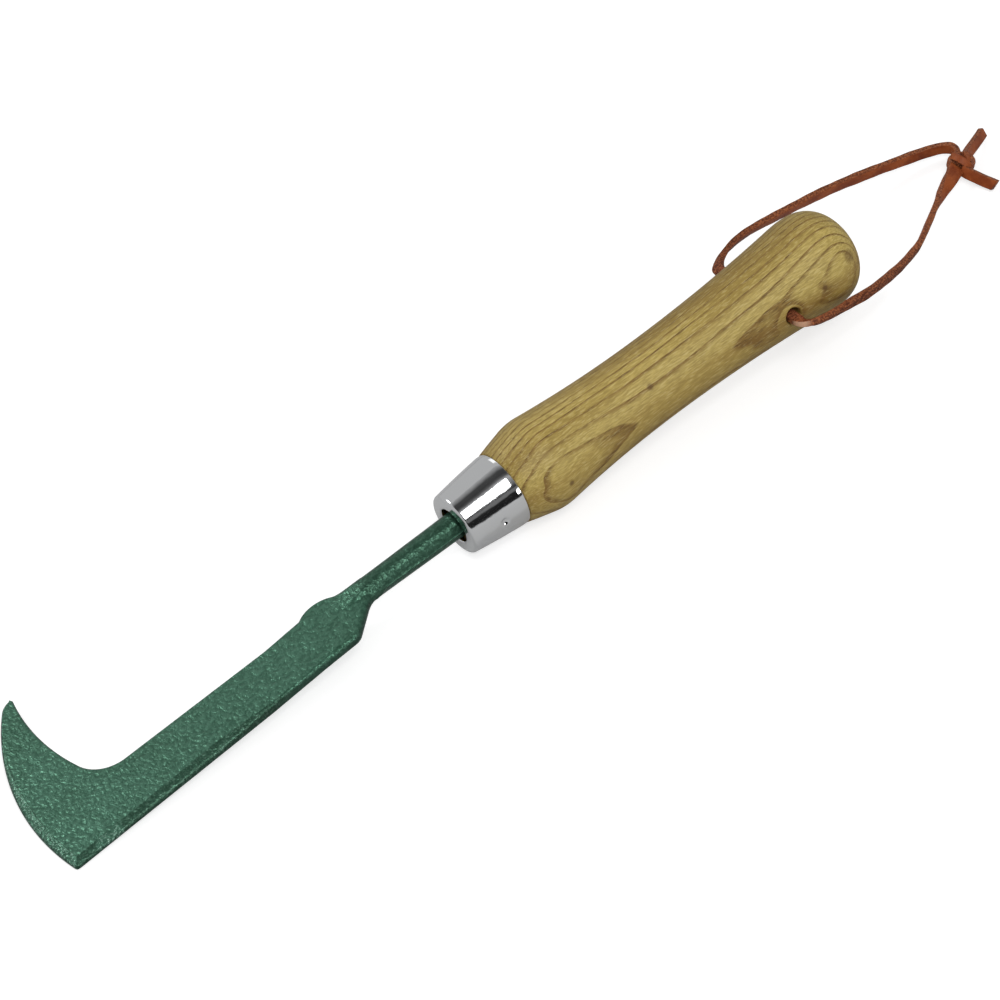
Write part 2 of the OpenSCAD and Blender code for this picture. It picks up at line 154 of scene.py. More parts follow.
def make_piece(name, parts, material, body, node, marks=None):
    """One object from several (points in mm, faces) parts, in place of a node. marks are named point
    values, with one array for each part."""
    points = np.concatenate([p.reshape(-1, 3) for p, _ in parts]) * MM
    starts = np.cumsum([0] + [p.size // 3 for p, _ in parts])
    faces = [[int(v) + int(start) for v in face] for (_, fs), start in zip(parts, starts) for face in fs]
    marks = {mark: np.concatenate([a.ravel() for a in arrays]) for mark, arrays in (marks or {}).items()}
    mesh = new_mesh(name, points, faces, marks)
    work = bmesh.new()
    work.from_mesh(mesh)
    bmesh.ops.remove_doubles(work, verts=work.verts, dist=2e-6)
    bmesh.ops.recalc_face_normals(work, faces=work.faces)
    open_edges = sum(not e.is_manifold for e in work.edges)
    work.to_mesh(mesh)
    work.free()
    mesh.polygons.foreach_set("use_smooth", np.ones(len(mesh.polygons), bool))
    mesh.materials.append(material)
    piece = new_object(name, mesh)
    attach(piece, body)
    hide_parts(node)
    print(name, len(mesh.polygons), "faces,", open_edges, "open edges")
    return piece


# %% [markdown]
# ## Writing materials in a few lines
# A shader is a small network. These helpers add a node and join it in one call, so that a finish
# reads from top to bottom like a recipe. A value that comes out of a node knows its network, so only
# the first nodes are told it. Patterns read Object coordinates, in metres: a scale of 600 gives marks
# about 1.7 mm wide.

# %% Shader helpers
WHITE = (1.0, 1.0, 1.0, 1.0)


def srgb(*values):
    """A colour as a painter names it, 0 to 255, in the linear values that shaders use."""
    c = np.array(values, float) / 255
    return (*np.where(c <= 0.04045, c / 12.92, ((c + 0.055) / 1.055) ** 2.4).tolist(), 1.0)


def feed(node, inputs):
    """Gives each input a value, or links it to another node's output."""
    for socket, value in inputs.items():
        if isinstance(value, bpy.types.NodeSocket):
            node.id_data.links.new(value, node.inputs[socket])
        else:
            node.inputs[socket].default_value = value
    return node


def add(kind, inputs, tree=None, **settings):
    """Adds a node to the tree given, or else to the one that its inputs come from."""
    tree = tree or next(v.id_data for v in inputs.values() if isinstance(v, bpy.types.NodeSocket))
    made = tree.nodes.new("ShaderNode" + kind)
    for name, value in settings.items():
        setattr(made, name, value)
    return feed(made, inputs)


def maths(operation, *values):
    """The output of one Math node."""
    return add("Math", dict(enumerate(values)), operation=operation).outputs[0]


def times(a, b):
    """a times b."""
    return maths("MULTIPLY", a, b)


def plus(a, b):
    """a plus b."""
    return maths("ADD", a, b)


def vectors(operation, first, second, output="Vector"):
    """The output of one Vector Math node."""
    return add("VectorMath", {0: first, 1: second}, operation=operation).outputs[output]


def spread(value, low, high, to_low=0.0, to_high=1.0):
    """Maps low to high onto to_low to to_high with soft ends."""
    ends = {"Value": value, "From Min": low, "From Max": high, "To Min": to_low, "To Max": to_high}
    return add("MapRange", ends, interpolation_type="SMOOTHSTEP").outputs["Result"]


def blend(factor, first, second):
    """Mixes two colours."""
    return add("Mix", {0: factor, 6: first, 7: second}, data_type="RGBA").outputs[2]


def noise(place, scale, detail=2.0, roughness=0.5, distortion=0.0, output="Fac"):
    """A noise texture at a place: its value, about 0.5 on average, or its Color."""
    return add("TexNoise", {"Vector": place, "Scale": scale, "Detail": detail, "Roughness": roughness,
                            "Distortion": distortion}).outputs[output]


def mark(shader, name):
    """The point attribute of that name."""
    return add("Attribute", {}, shader.id_data, attribute_name=name).outputs["Fac"]


def new_material(name):
    """A material with its principled shader and its Object coordinates."""
    material = bpy.data.materials.new(name)
    material.use_nodes = True
    tree = material.node_tree
    return material, tree.nodes["Principled BSDF"], add("TexCoord", {}, tree).outputs["Object"]


def bumped(shader, height, distance):
    """Gives the shader a relief of that depth, in metres."""
    feed(shader, {"Normal": add("Bump", {"Height": height, "Distance": distance}).outputs["Normal"]})


# %% [markdown]
# ## Leather
# The lace is cut from tanned hide. One face is the smooth grain side, the other the rough flesh side,
# and the cut edges show the fibres between. A point value named flesh says which side a point is on,
# so one material dresses the whole strip and follows every twist.

# %% Leather material
def leather_material():
    """Smooth side, rough side and cut edge are three colours, mixed by the marks flesh and cut_edge."""
    material, shader, place = new_material("oiled_lace_leather")
    flesh, edge = mark(shader, "flesh"), mark(shader, "cut_edge")
    patches = noise(place, 130, 3, 0.6)
    fibres = noise(place, 1500, 3, 0.7, 0.4)
    grain = noise(place, 2600)
    smooth_side = blend(spread(patches, 0.35, 0.65), srgb(126, 56, 20), srgb(158, 80, 34))
    rough_side = blend(spread(fibres, 0.44, 0.60), srgb(76, 34, 18), srgb(160, 94, 60))
    worn_edge = blend(spread(fibres, 0.42, 0.6), srgb(88, 44, 24), srgb(160, 96, 58))
    colour = blend(flesh, smooth_side, rough_side)
    colour = blend(spread(edge, 0.0, 1.0, 0.0, 0.8), colour, worn_edge)
    colour = blend(spread(edge, 1.2, 2.0, 0.0, 0.8), colour, srgb(206, 164, 134))
    feed(shader, {"Base Color": colour, "Roughness": spread(flesh, 0.0, 1.0, 0.50, 0.85),
                  "Specular IOR Level": 0.25})
    rough = times(fibres, maths("MULTIPLY_ADD", flesh, 0.9, 0.25))
    bumped(shader, plus(rough, times(grain, 0.15)), 0.00022)
    return material


leather = leather_material()

# %% [markdown]
# ## One strip along any path
# The lace is a strip 4 mm wide and 2.1 mm thick. Its section, a rectangle with soft corners, is
# carried along the path: at each step one direction is the strip's thickness and the other its width.
# A curve with a bevel can't follow the twists that the strip takes when it turns from flat in the
# hole to upright outside.

# %% Strip sweep
LACE_WIDTH, LACE_THICKNESS = 4.0, 2.1
CORNER_ROUND, LACE_SIDES = 0.32, 32


def strip_section(width=LACE_WIDTH):
    """A rounded rectangle as (thickness, width) offsets, with quarter circles of CORNER_ROUND."""
    a = np.linspace(0, 2 * np.pi, LACE_SIDES, endpoint=False) + np.pi / LACE_SIDES
    corner = np.stack([np.sign(np.cos(a)), np.sign(np.sin(a))], -1)
    inner = corner * np.array([LACE_THICKNESS / 2 - CORNER_ROUND, width / 2 - CORNER_ROUND])
    return inner + np.stack([np.cos(a), np.sin(a)], -1) * CORNER_ROUND


def sweep_strip(path, thick, wide, width=LACE_WIDTH, lively=0.03, stretch=1.0):
    """Ring i is path[i] + s * thick[i] + t * wide[i] for the section's offsets (s, t), which drift a
    little along the strip because it is cut by hand. stretch widens single rings."""
    at = travelled(path)
    drift = (1 + lively * (np.sin(at * 0.31) + 0.6 * np.sin(at * 0.83 + 1.0)))[:, None, None]
    s, t = (offset[None, :, None] * drift for offset in strip_section(width).T)
    return path[:, None] + s * thick[:, None] + t * np.reshape(stretch, (-1, 1, 1)) * wide[:, None]


def strip_marks(rings):
    """flesh is 1 on the face that looks against the thickness, cut_edge is 1 on both narrow sides."""
    side = strip_section()
    flesh = np.clip(0.5 - side[:, 0] / LACE_THICKNESS * 2.2, 0, 1)
    edge = np.clip((np.abs(side[:, 1]) - LACE_WIDTH / 2 + CORNER_ROUND) / CORNER_ROUND, 0, 1)
    return [np.tile(m, (len(rings), 1)) for m in (flesh, edge)]


def strip_part(rings):
    """Points and faces of a strip with both its ends capped."""
    n, last = LACE_SIDES, (len(rings) - 1) * LACE_SIDES
    caps = [np.arange(n)[::-1], last + np.arange(n)]
    return rings, [*grid_faces(len(rings), n), *caps]


print("section of the lace:", LACE_WIDTH, "by", LACE_THICKNESS, "mm")

# %% [markdown]
# ## The lace's two free runs
# The lace comes out of the hanging hole on both sides, runs past the butt and meets itself in the
# knot. The points are those of the solid model, from the hole's centre, with the lean of the strip's
# width from upright in degrees. A smooth curve goes through them.

# %% Routes
HOLE_CENTRE = np.array([134.846, -15.75, 23.8715])
FRONT_ROUTE = [
    (-0.4, -17, -0.3, 90), (-0.2, -18.3, -0.5, 80), (0.4, -19.5, -0.9, 70), (1.6, -20.4, -1.4, 60),
    (3.4, -21, -1.9, 50), (6, -21.2, -2.6, 42), (9.6, -21, -3.4, 36), (14, -20.4, -4.4, 32),
    (20.6, -19.5, -5.6, 24), (28, -18.7, -7, 18), (35.4, -16.8, -8.5, 20), (41, -14.8, -9.9, 21),
    (47.4, -12.4, -11.4, 22), (54, -9.2, -13, 24), (61.6, -5.2, -14.7, 27), (68, -0.6, -16, 30),
    (74, 3.8, -16.9, 29), (80.5, 8.6, -17.8, 24), (86.5, 12.6, -18.3, 16), (91.9, 15.3, -18.2, 4),
    (96.5, 17.3, -17.8, -10), (100, 19.6, -17.85, -18)]
BACK_ROUTE = [
    (-0.4, 17, -0.3, 90), (-0.6, 18.6, -0.4, 84), (-0.8, 20.4, -0.6, 76), (-0.8, 22.4, -0.9, 66),
    (0, 24.6, -1.3, 56), (1.8, 26.8, -1.7, 48), (4.4, 29, -2.1, 42), (8.2, 31.4, -2.7, 38),
    (12.6, 33.4, -3.4, 35), (17.8, 35, -4.2, 33), (25, 36.4, -5.5, 31), (32, 37.2, -6.9, 29),
    (39, 37.9, -8.3, 26), (46.5, 38.6, -9.8, 23), (54.5, 39.2, -11.4, 20), (63, 39.5, -13.1, 17),
    (71.5, 39.4, -14.8, 14), (80, 38.8, -16.3, 12), (88, 37.7, -17.5, 10), (95.5, 36.4, -18.4, 8),
    (101.4, 34.7, -18.9, 4), (105, 32.8, -19, 0), (107, 30.4, -19, 0), (107, 27.6, -19, 0),
    (105.6, 24.8, -19, 0)]
HOLE_ROUTE = [(-0.4, y, -0.3, 90) for y in (-17, -8, 0, 8, 17)]
swing_place = np.array(frame["joints"][0]["pos_m"]) / MM
print("hole's centre and joint are", round(float(np.abs(HOLE_CENTRE - swing_place).max()), 3), "mm apart")
FLESH_TURNS = [0.62, 0.78]
FLARE_LENGTH = 14.0
TURN_STEPS, TURN_PULL = 34, 2.8


def through(rows, step):
    """Cubic Hermite curve through the rows, with slopes from central differences over the chords."""
    rows = np.array(rows, float)
    at = travelled(rows[:, :3])
    slope = np.gradient(rows, at, axis=0)
    t = np.linspace(0, at[-1], int(at[-1] / step) + 1)
    i = np.clip(np.searchsorted(at, t, side="right") - 1, 0, len(at) - 2)
    span = (at[i + 1] - at[i])[:, None]
    u = (t - at[i])[:, None] / span
    return (rows[i] * (1 + 2 * u) * (1 - u) ** 2 + slope[i] * span * u * (1 - u) ** 2
            + rows[i + 1] * u * u * (3 - 2 * u) + slope[i + 1] * span * u * u * (u - 1))


def lace_frames(rows):
    """Path, thickness and width directions of a run. A row's last number is the width's lean."""
    curve = through(rows, 0.7)
    path, lean = curve[:, :3], np.radians(curve[:, 3:])
    along = unit(np.gradient(path, axis=0))
    up = square_to(along, np.array([0, 0, 1.0]))
    side = np.cross(up, along)
    thick, wide = np.cos(lean) * side + np.sin(lean) * up, np.cos(lean) * up - np.sin(lean) * side
    return path + HOLE_CENTRE, thick, wide


def turned_end(path, thick, wide):
    """Turns the last TURN_STEPS rings towards the viewer, by a pull on thick that grows."""
    steps = np.arange(len(path)) - len(path) + TURN_STEPS
    near_end = np.clip(steps / (TURN_STEPS - 4), 0, 1)[:, None] ** 2
    along = unit(np.gradient(path, axis=0))
    toward = square_to(along, CAMERA_BACK)
    toward = toward * np.sign((toward * thick).sum(-1, keepdims=True))
    thick = unit(thick + near_end * TURN_PULL * toward)
    side = np.cross(along, thick)
    return thick, side * np.sign((side * wide).sum(-1, keepdims=True))


def lace_mesh(node, rings, flesh, edge):
    """One strip of leather in place of a node of the solid model."""
    return make_piece(node + "_strip", [strip_part(rings)], leather, "lanyard", node,
                      {"flesh": [flesh], "cut_edge": [edge]})


def lace_run(node, rows, flesh_first, flesh_last, flare=0.0, pale=0.0):
    """One run. flesh_first and flesh_last say which way the rough side looks at either end, from -1 to 1.
    flare widens the last FLARE_LENGTH; pale lightens the cut edges near the mouth
    and gives the faces there the rough side's look."""
    path, thick, wide = lace_frames(rows)
    if flare:
        thick, wide = turned_end(path, thick, wide)
    at = travelled(path)
    stretch = 1 + flare * np.clip((at - at[-1] + FLARE_LENGTH) / FLARE_LENGTH, 0, 1) ** 1.5
    rings = sweep_strip(path, thick, wide, stretch=stretch)
    flesh, edge = strip_marks(rings)
    way = np.interp(at / at[-1], FLESH_TURNS, [flesh_first, flesh_last])[:, None]
    flesh = np.where(way > 0, flesh * way, (1 - flesh) * -way)
    flesh = np.maximum(flesh, 0.8 * pale * np.exp(-(at / 4.5) ** 2)[:, None])
    edge = edge * (1 + pale * np.exp(-((at - 2.5) / 2.6) ** 2))[:, None]
    return lace_mesh(node, rings, flesh, edge), path


lace_run("lace_hole_run", HOLE_ROUTE, -0.9, -0.9)
front_run, front_path = lace_run("lace_front_run", FRONT_ROUTE, 1.0, 0.15, flare=0.5, pale=1.0)
back_run, back_path = lace_run("lace_back_run", BACK_ROUTE, -0.95, -0.95)

# %% [markdown]
# ## The knot and its two tails
# An overhand knot in a flat strip looks like bands wrapped round a small ball. Two bands are enough:
# one lies round the ball like a belt, and the other crosses over it and pins the front run. Each is
# the same strip on a slightly uneven loop, with its thickness pointing outwards. The tails start
# inside the ball and end in a cut.

# %% Knot
KNOT_CENTRE = HOLE_CENTRE + np.array([103.7, 21.4, -19.0])


def band(axis, start, radii, sway, width, steps=72):
    """A loop round the knot: an ellipse of two radii, square to axis, that sways along it."""
    axis = unit(axis)
    first = square_to(axis[None], start)[0]
    second = np.cross(axis, first)
    a = np.linspace(0, 2 * np.pi, steps, endpoint=False)[:, None]
    path = KNOT_CENTRE + np.cos(a) * first * radii[0] + np.sin(a) * (second * radii[1] + axis * sway)
    along = unit(np.roll(path, -1, 0) - np.roll(path, 1, 0))
    wide = square_to(along, axis)
    rings = sweep_strip(path, np.cross(along, wide), wide, width=width, lively=0.0)
    return rings, grid_faces(steps, LACE_SIDES, wrap_rows=True)


def core(radii, rows=24, cols=32):
    """The crushed leather inside: an egg whose three radii swell by 6% in three lobes."""
    polar = np.linspace(0, np.pi, rows)[:, None]
    around = np.linspace(0, 2 * np.pi, cols, endpoint=False)
    swell = 1 + 0.06 * np.sin(3 * around) * np.sin(polar) ** 2
    ball = np.stack([np.sin(polar) * np.cos(around), np.sin(polar) * np.sin(around),
                     np.cos(polar) + 0 * around], -1)
    turned = (ball * swell[..., None] * np.array(radii)) @ np.stack([CAMERA_RIGHT, CAMERA_UP, CAMERA_BACK])
    return KNOT_CENTRE + turned, grid_faces(rows, cols)


belt = band(CAMERA_BACK + 0.3 * CAMERA_UP, CAMERA_RIGHT, (3.85, 2.35), 0.6, 4.0)
cross = band(0.45 * CAMERA_RIGHT + 0.88 * CAMERA_UP - 0.1 * CAMERA_BACK, CAMERA_BACK,
             (4.1, 3.3), -0.5, 2.7)
middle = core((3.6, 2.6, 3.2))
(belt_flesh, belt_edge), (cross_flesh, cross_edge) = (strip_marks(part[0]) for part in (belt, cross))
plain = np.ones(middle[0].size // 3)
knot = make_piece("lace_knot_bands", [belt, cross, middle], leather, "lanyard",
                  "lace_knot", {"flesh": [belt_flesh * 0.2, cross_flesh * 0.3, plain * 0.5],
                                "cut_edge": [belt_edge, cross_edge, plain]})

# %% Tails
UPPER_TAIL = [
    (104.3, 18.8, -15.4), (107.4, 21.8, -17.3), (110.2, 23.9, -18.5), (113.9, 26.1, -19.5),
    (118, 28.4, -20.3), (121.8, 30.5, -20.8)]
LOWER_TAIL = [
    (101.4, 18.1, -18.9), (101.9, 15.7, -19.5), (102.7, 13.1, -20.1), (103.6, 9.7, -20.7),
    (104.4, 6.5, -21), (104.9, 4.5, -21.2)]
CUT_LENGTH = 3.5


def tail_piece(node, route, facing, slant):
    """A short run that keeps one face to the viewer, turned about its own way by facing degrees. Its end
    is sheared: near the cut a point moves along by slant times its width offset."""
    path = through(np.array(route, float) + HOLE_CENTRE, 0.4)
    along = unit(np.gradient(path, axis=0))
    toward = square_to(along, CAMERA_BACK)
    side = np.cross(along, toward)
    c, s = math.cos(math.radians(facing)), math.sin(math.radians(facing))
    thick, wide = c * toward + s * side, c * side - s * toward
    rings = sweep_strip(path, thick, wide, lively=0.0)
    left = np.linalg.norm(path - path[-1], axis=1)
    share = np.clip(1 - left / CUT_LENGTH, 0, 1)[:, None, None] ** 2
    offset = ((rings - path[:, None]) * wide[:, None]).sum(-1, keepdims=True)
    rings = rings + share * (slant * offset - abs(slant) * LACE_WIDTH / 2) * along[:, None]
    flesh, edge = strip_marks(rings)
    return lace_mesh(node, rings, flesh * 0.6, edge)


upper_tail = tail_piece("lace_upper_tail", UPPER_TAIL, 42, 0.3)
lower_tail = tail_piece("lace_lower_tail", LOWER_TAIL, 24, -0.35)

# %% [markdown]
# ## The turned handle
# The grip is turned from ash: a swell behind the ferrule, a slim waist for the fingers and a rounded
# butt. A turned piece is a profile spun round its axis, with points x along the axis and r(x) away
# from it. The profile is the solid model's.

# %% Handle profile
FERRULE_LENGTH = 21.6
WOOD_LENGTH = 148.4
BUTT_X = FERRULE_LENGTH + WOOD_LENGTH
SWELL = (36.5, 16.6, 22.0)
WAIST = (86.0, 14.0)
BUTT = (154.4, 17.4, 45.0)
BUTT_LENGTH = 15.6
BUTT_POWER = 2.4
SHOULDER_R = 13.6
SHOULDER_TURN = math.radians(14)
FRONT_HOLLOW_R = 450.502
BACK_HOLLOW_R = 644.724
HOLE_X = BUTT_X - 35.2


def grip_radius(x):
    """r(x) from the ferrule to the butt's end, as a cone, four arcs and a superellipse."""
    x = np.asarray(x, float)
    front_turn = math.asin((WAIST[0] - SWELL[0]) / (FRONT_HOLLOW_R + SWELL[2]))
    back_turn = math.asin((BUTT[0] - WAIST[0]) / (BACK_HOLLOW_R + BUTT[2]))
    crown = SWELL[1] - SWELL[2] + bow(x, SWELL[0], SWELL[2])
    crown_start = SWELL[0] - SWELL[2] * math.sin(SHOULDER_TURN)
    start_r = SWELL[1] - SWELL[2] * (1 - math.cos(SHOULDER_TURN))
    cone = SHOULDER_R + (x - FERRULE_LENGTH) / (crown_start - FERRULE_LENGTH) * (start_r - SHOULDER_R)
    front, back = (WAIST[1] + r - bow(x, WAIST[0], r) for r in (FRONT_HOLLOW_R, BACK_HOLLOW_R))
    butt = BUTT[1] - BUTT[2] + bow(x, BUTT[0], BUTT[2])
    dome = BUTT[1] * (1 - np.clip((x - BUTT[0]) / BUTT_LENGTH, 0, 1) ** BUTT_POWER) ** (1 / BUTT_POWER)
    places = [x < crown_start, x < SWELL[0] + SWELL[2] * math.sin(front_turn), x < WAIST[0],
              x < BUTT[0] - BUTT[2] * math.sin(back_turn), x < BUTT[0]]
    return np.select(places, [cone, crown, front, back, butt], dome)


for part, x in (("swell", SWELL[0]), ("waist", WAIST[0]), ("butt", BUTT[0])):
    print(part, round(float(grip_radius(x)) * 2, 2), "mm")

# %% [markdown]
# ## A hole through a turned surface
# The lace needs a hole across the butt. A boolean cut leaves thin slivers, so the grid is opened
# instead: a window of whole cells is left out on each side, and rings of points lead from its edge
# over the round rim and through the bore to the other side. A ring point's x and z move in a straight
# line from window to rim, and y follows the turned surface: y = -sqrt(r(x)^2 - z^2).

# %% Handle surface
AROUND = 192
HOLE_R = 2.9
RIM = 0.85
WINDOW = 11
ROW_STEP = 0.55
ROWS_BEFORE, ROWS_AFTER = 199, 35


def spun(x, r, count=AROUND):
    """Points (x, -r cos a, r sin a) for every x, with a all the way round."""
    a = np.linspace(0, 2 * np.pi, count, endpoint=False)
    return np.stack([np.broadcast_to(x[:, None], (len(x), count)), -r[:, None] * np.cos(a),
                     r[:, None] * np.sin(a)], -1)


def handle_parts():
    """The turned surface, its faces without the two windows, and the windows' first row. The profile's
    first points line the socket and the ferrule's seat, and the grip's rows are counted from the hole."""
    turn = np.radians(np.linspace(2, 90, 40))
    dome_x = BUTT[0] + BUTT_LENGTH * np.sin(turn) ** (2 / BUTT_POWER)
    dome_r = BUTT[1] * np.maximum(np.cos(turn), 0) ** (2 / BUTT_POWER)
    tenon = [(84, 0), (84, 2.6), (5.2, 4.5), (5.2, 6.4), (3, 6.4), (3, 10.2), (21.5, 12.35), (21.62, 13.0),
             (21.66, 13.25)]
    body_x = np.r_[21.85, HOLE_X + ROW_STEP * np.arange(-ROWS_BEFORE, ROWS_AFTER + 1)]
    x = np.r_[[p[0] for p in tenon], body_x, dome_x]
    r = np.r_[[p[1] for p in tenon], grip_radius(body_x), dome_r]
    r[len(tenon)] -= 0.10
    surface = spun(x, r)
    faces = grid_faces(len(x), AROUND)
    first = len(tenon) + 1 + ROWS_BEFORE - WINDOW
    row, col = faces[:, 0] // AROUND, faces[:, 0] % AROUND
    window = (row >= first) & (row < first + 2 * WINDOW) & ((col + WINDOW) % (AROUND // 2) < 2 * WINDOW)
    return surface, faces[~window], first


def hole_parts(surface, first):
    """Both patches and the bore. The loop runs round the window, and the back patch mirrors y."""
    side = np.arange(-WINDOW, WINDOW)
    i = np.r_[side, np.full(2 * WINDOW, WINDOW), -side, np.full(2 * WINDOW, -WINDOW)] + first + WINDOW
    j = np.r_[np.full(2 * WINDOW, -WINDOW), side, np.full(2 * WINDOW, WINDOW), -side] % AROUND
    loop = surface[i, j]
    angle = np.arctan2(loop[:, 2], loop[:, 0] - HOLE_X)
    rim = np.stack([HOLE_X + (HOLE_R + RIM) * np.cos(angle), (HOLE_R + RIM) * np.sin(angle)], -1)
    share = np.linspace(0, 1, 9)[:, None, None]
    flat = (1 - share) * loop[None][..., [0, 2]] + share * rim
    y = -np.sqrt(grip_radius(flat[..., 0]) ** 2 - flat[..., 1] ** 2)
    patch = np.stack([flat[..., 0], y, flat[..., 1]], -1)
    patch[0] = loop
    roll = np.radians(np.linspace(15, 90, 6))[:, None]
    radius = HOLE_R + RIM * (1 - np.sin(roll))
    sunk = y[-1] + RIM * (1 - np.cos(roll))
    bend = np.stack([HOLE_X + radius * np.cos(angle), sunk, radius * np.sin(angle)], -1)
    front = np.concatenate([patch, bend])
    depth = np.linspace(1, -1, 12)[1:-1]
    bore = front[-1] * np.stack([np.ones(10), depth, np.ones(10)], -1)[:, None]
    tunnel = np.concatenate([front, bore, front[::-1] * np.array([1, -1, 1])])
    return tunnel, grid_faces(len(tunnel), len(loop))


# %% [markdown]
# ## Ash wood
# Ash is ring porous: each year leaves a band of open pores, a darker line with short dashes in it. A
# tree's rings are cylinders round its pith, so the material measures the distance from a pith line
# beside the grip and cuts it into years. Where the turned surface crosses the rings at a shallow
# angle, the lines open into pointed arches by themselves.

# %% Ash material
RINGS_PER_METRE = 400.0
RELIEF_LONG, DASH_LONG = 0.16, 0.11
GRAIN_SWIRLS = [((0.1348, -0.016, 0.0), 0.011, -0.0022), ((0.160, -0.0148, 0.0065), 0.010, 0.0016)]
KNOT_SPECKS = [((0.1618, -0.0148, 0.0065), 0.0034, 0.55), ((0.1485, -0.0167, 0.0031), 0.0015, 0.75),
               ((0.0781, -0.0110, 0.0088), 0.0017, 0.6), ((0.0374, -0.0166, 0.0002), 0.0015, 0.75)]


def drawn_out(place, share):
    """The place with its x shortened, so that a pattern grows long along the grip."""
    return add("Mapping", {"Vector": place, "Scale": (share, 1.0, 1.0)}).outputs["Vector"]


def ash_material():
    """A year is the fraction of the distance from the pith times RINGS_PER_METRE. Pores are short dashes
    of noise, strongest where a year begins, and dark specks stand where twigs once grew."""
    material, shader, place = new_material("oiled_ash")
    grip = add("Mapping", {"Vector": place, "Location": (-0.00144, 0.01575, -0.01385),
                           "Rotation": (0.0, PITCH, 0.0)}).outputs["Vector"]
    long_grain, dashes_at = drawn_out(grip, RELIEF_LONG), drawn_out(grip, DASH_LONG)
    drift = vectors("ADD", noise(long_grain, 55, output="Color"), (-0.5, -0.5, -0.5))
    swirled = vectors("ADD", grip, vectors("MULTIPLY", drift, (0.006, 0.006, 0.006)))
    x, y, z = add("SeparateXYZ", {"Vector": swirled}).outputs
    across, upward = plus(y, -0.052), plus(z, 0.004)
    distance = maths("SQRT", plus(times(across, across), times(upward, upward)))
    distance = plus(distance, times(x, 0.012))
    for spot, size, push in GRAIN_SWIRLS:
        distance = plus(distance, spread(vectors("DISTANCE", grip, spot, "Value"), 0.0, size, push, 0.0))
    year = maths("FRACT", times(distance, RINGS_PER_METRE))
    fading = spread(noise(long_grain, 140), 0.30, 0.60, 0.45, 1.0)
    porous = times(times(spread(year, 0.05, 0.40, 1.0, 0.0), spread(year, 0.0, 0.06)), fading)
    fine = noise(dashes_at, 2600, 2, 0.6)
    dashes = spread(noise(dashes_at, 1500, 2, 0.6), 0.50, 0.62)
    pores = times(dashes, maths("MULTIPLY_ADD", porous, 0.80, 0.20))
    golden = spread(noise(long_grain, 60), 0.52, 0.60)
    # Painted shade: the grip darkens on its lower and far side, unevenly with the golden noise.
    low = spread(maths("SUBTRACT", z, times(y, 0.4)), 0.005, 0.013, 1.0, 0.0)
    cloud = spread(noise(long_grain, 34, 3, 0.55), 0.40, 0.60)
    wood = blend(cloud, srgb(149, 123, 54), srgb(189, 166, 91))
    # The painted shade on the lower side, in deep brown.
    wood = blend(times(low, maths("MULTIPLY_ADD", golden, 0.38, 0.30)), wood, srgb(128, 92, 34))
    wood = blend(times(porous, 0.85), wood, srgb(120, 86, 34))
    wood = blend(times(pores, 0.60), wood, srgb(84, 58, 20))
    wood = blend(spread(fine, 0.40, 0.56, 0.30, 0.0), wood, srgb(104, 80, 34))
    wood = blend(spread(fine, 0.54, 0.68, 0.0, 0.30), wood, srgb(216, 200, 144))
    for spot, size, depth in KNOT_SPECKS:
        far = vectors("DISTANCE", grip, spot, "Value")
        wood = blend(spread(far, size * 0.3, size, depth, 0.0), wood, srgb(84, 52, 20))
    feed(shader, {"Base Color": wood, "Roughness": spread(porous, 0.0, 1.0, 0.46, 0.62),
                  "Specular IOR Level": 0.35})
    bumped(shader, maths("MULTIPLY_ADD", pores, -1.0, fine), 0.00010)
    return material


surface, outer_faces, first_row = handle_parts()
tunnel, tunnel_faces = hole_parts(surface, first_row)
make_piece("turned_handle", [(lay(surface), outer_faces), (lay(tunnel), tunnel_faces)], ash_material(),
           "tool", "handle")

# %% [markdown]
# ## The ferrule
# A ferrule is a cone of sheet metal, pressed over the wood to stop it from splitting. Its profile is
# a closed loop, outside and inside, spun round the axis like the grip. The wall bulges very slightly,
# as drawn metal does, which gives its reflections an end. A punched dimple locks it: near that point
# a smooth bowl lowers the surface.

# %% Ferrule shape
FERRULE_FRONT_R, FERRULE_BACK_R = 11.0, 13.5
SHEET = 1.0
FRONT_ROUND = 1.4
BULGE = 0.16
CURL, CURL_LENGTH = 0.28, 2.4
DIMPLE_X, DIMPLE_R, DIMPLE_DEPTH = 12.3, 1.7, 0.85
FERRULE_AROUND = 320


def ferrule_radius(x):
    """A straight cone, a bulge that is a parabola between both ends, and an inward curl at the wood."""
    t = x / FERRULE_LENGTH
    curl = CURL * np.clip((x - FERRULE_LENGTH + CURL_LENGTH) / CURL_LENGTH, 0, 1) ** 2
    return FERRULE_FRONT_R + (FERRULE_BACK_R - FERRULE_FRONT_R) * t + BULGE * 4 * t * (1 - t) - curl


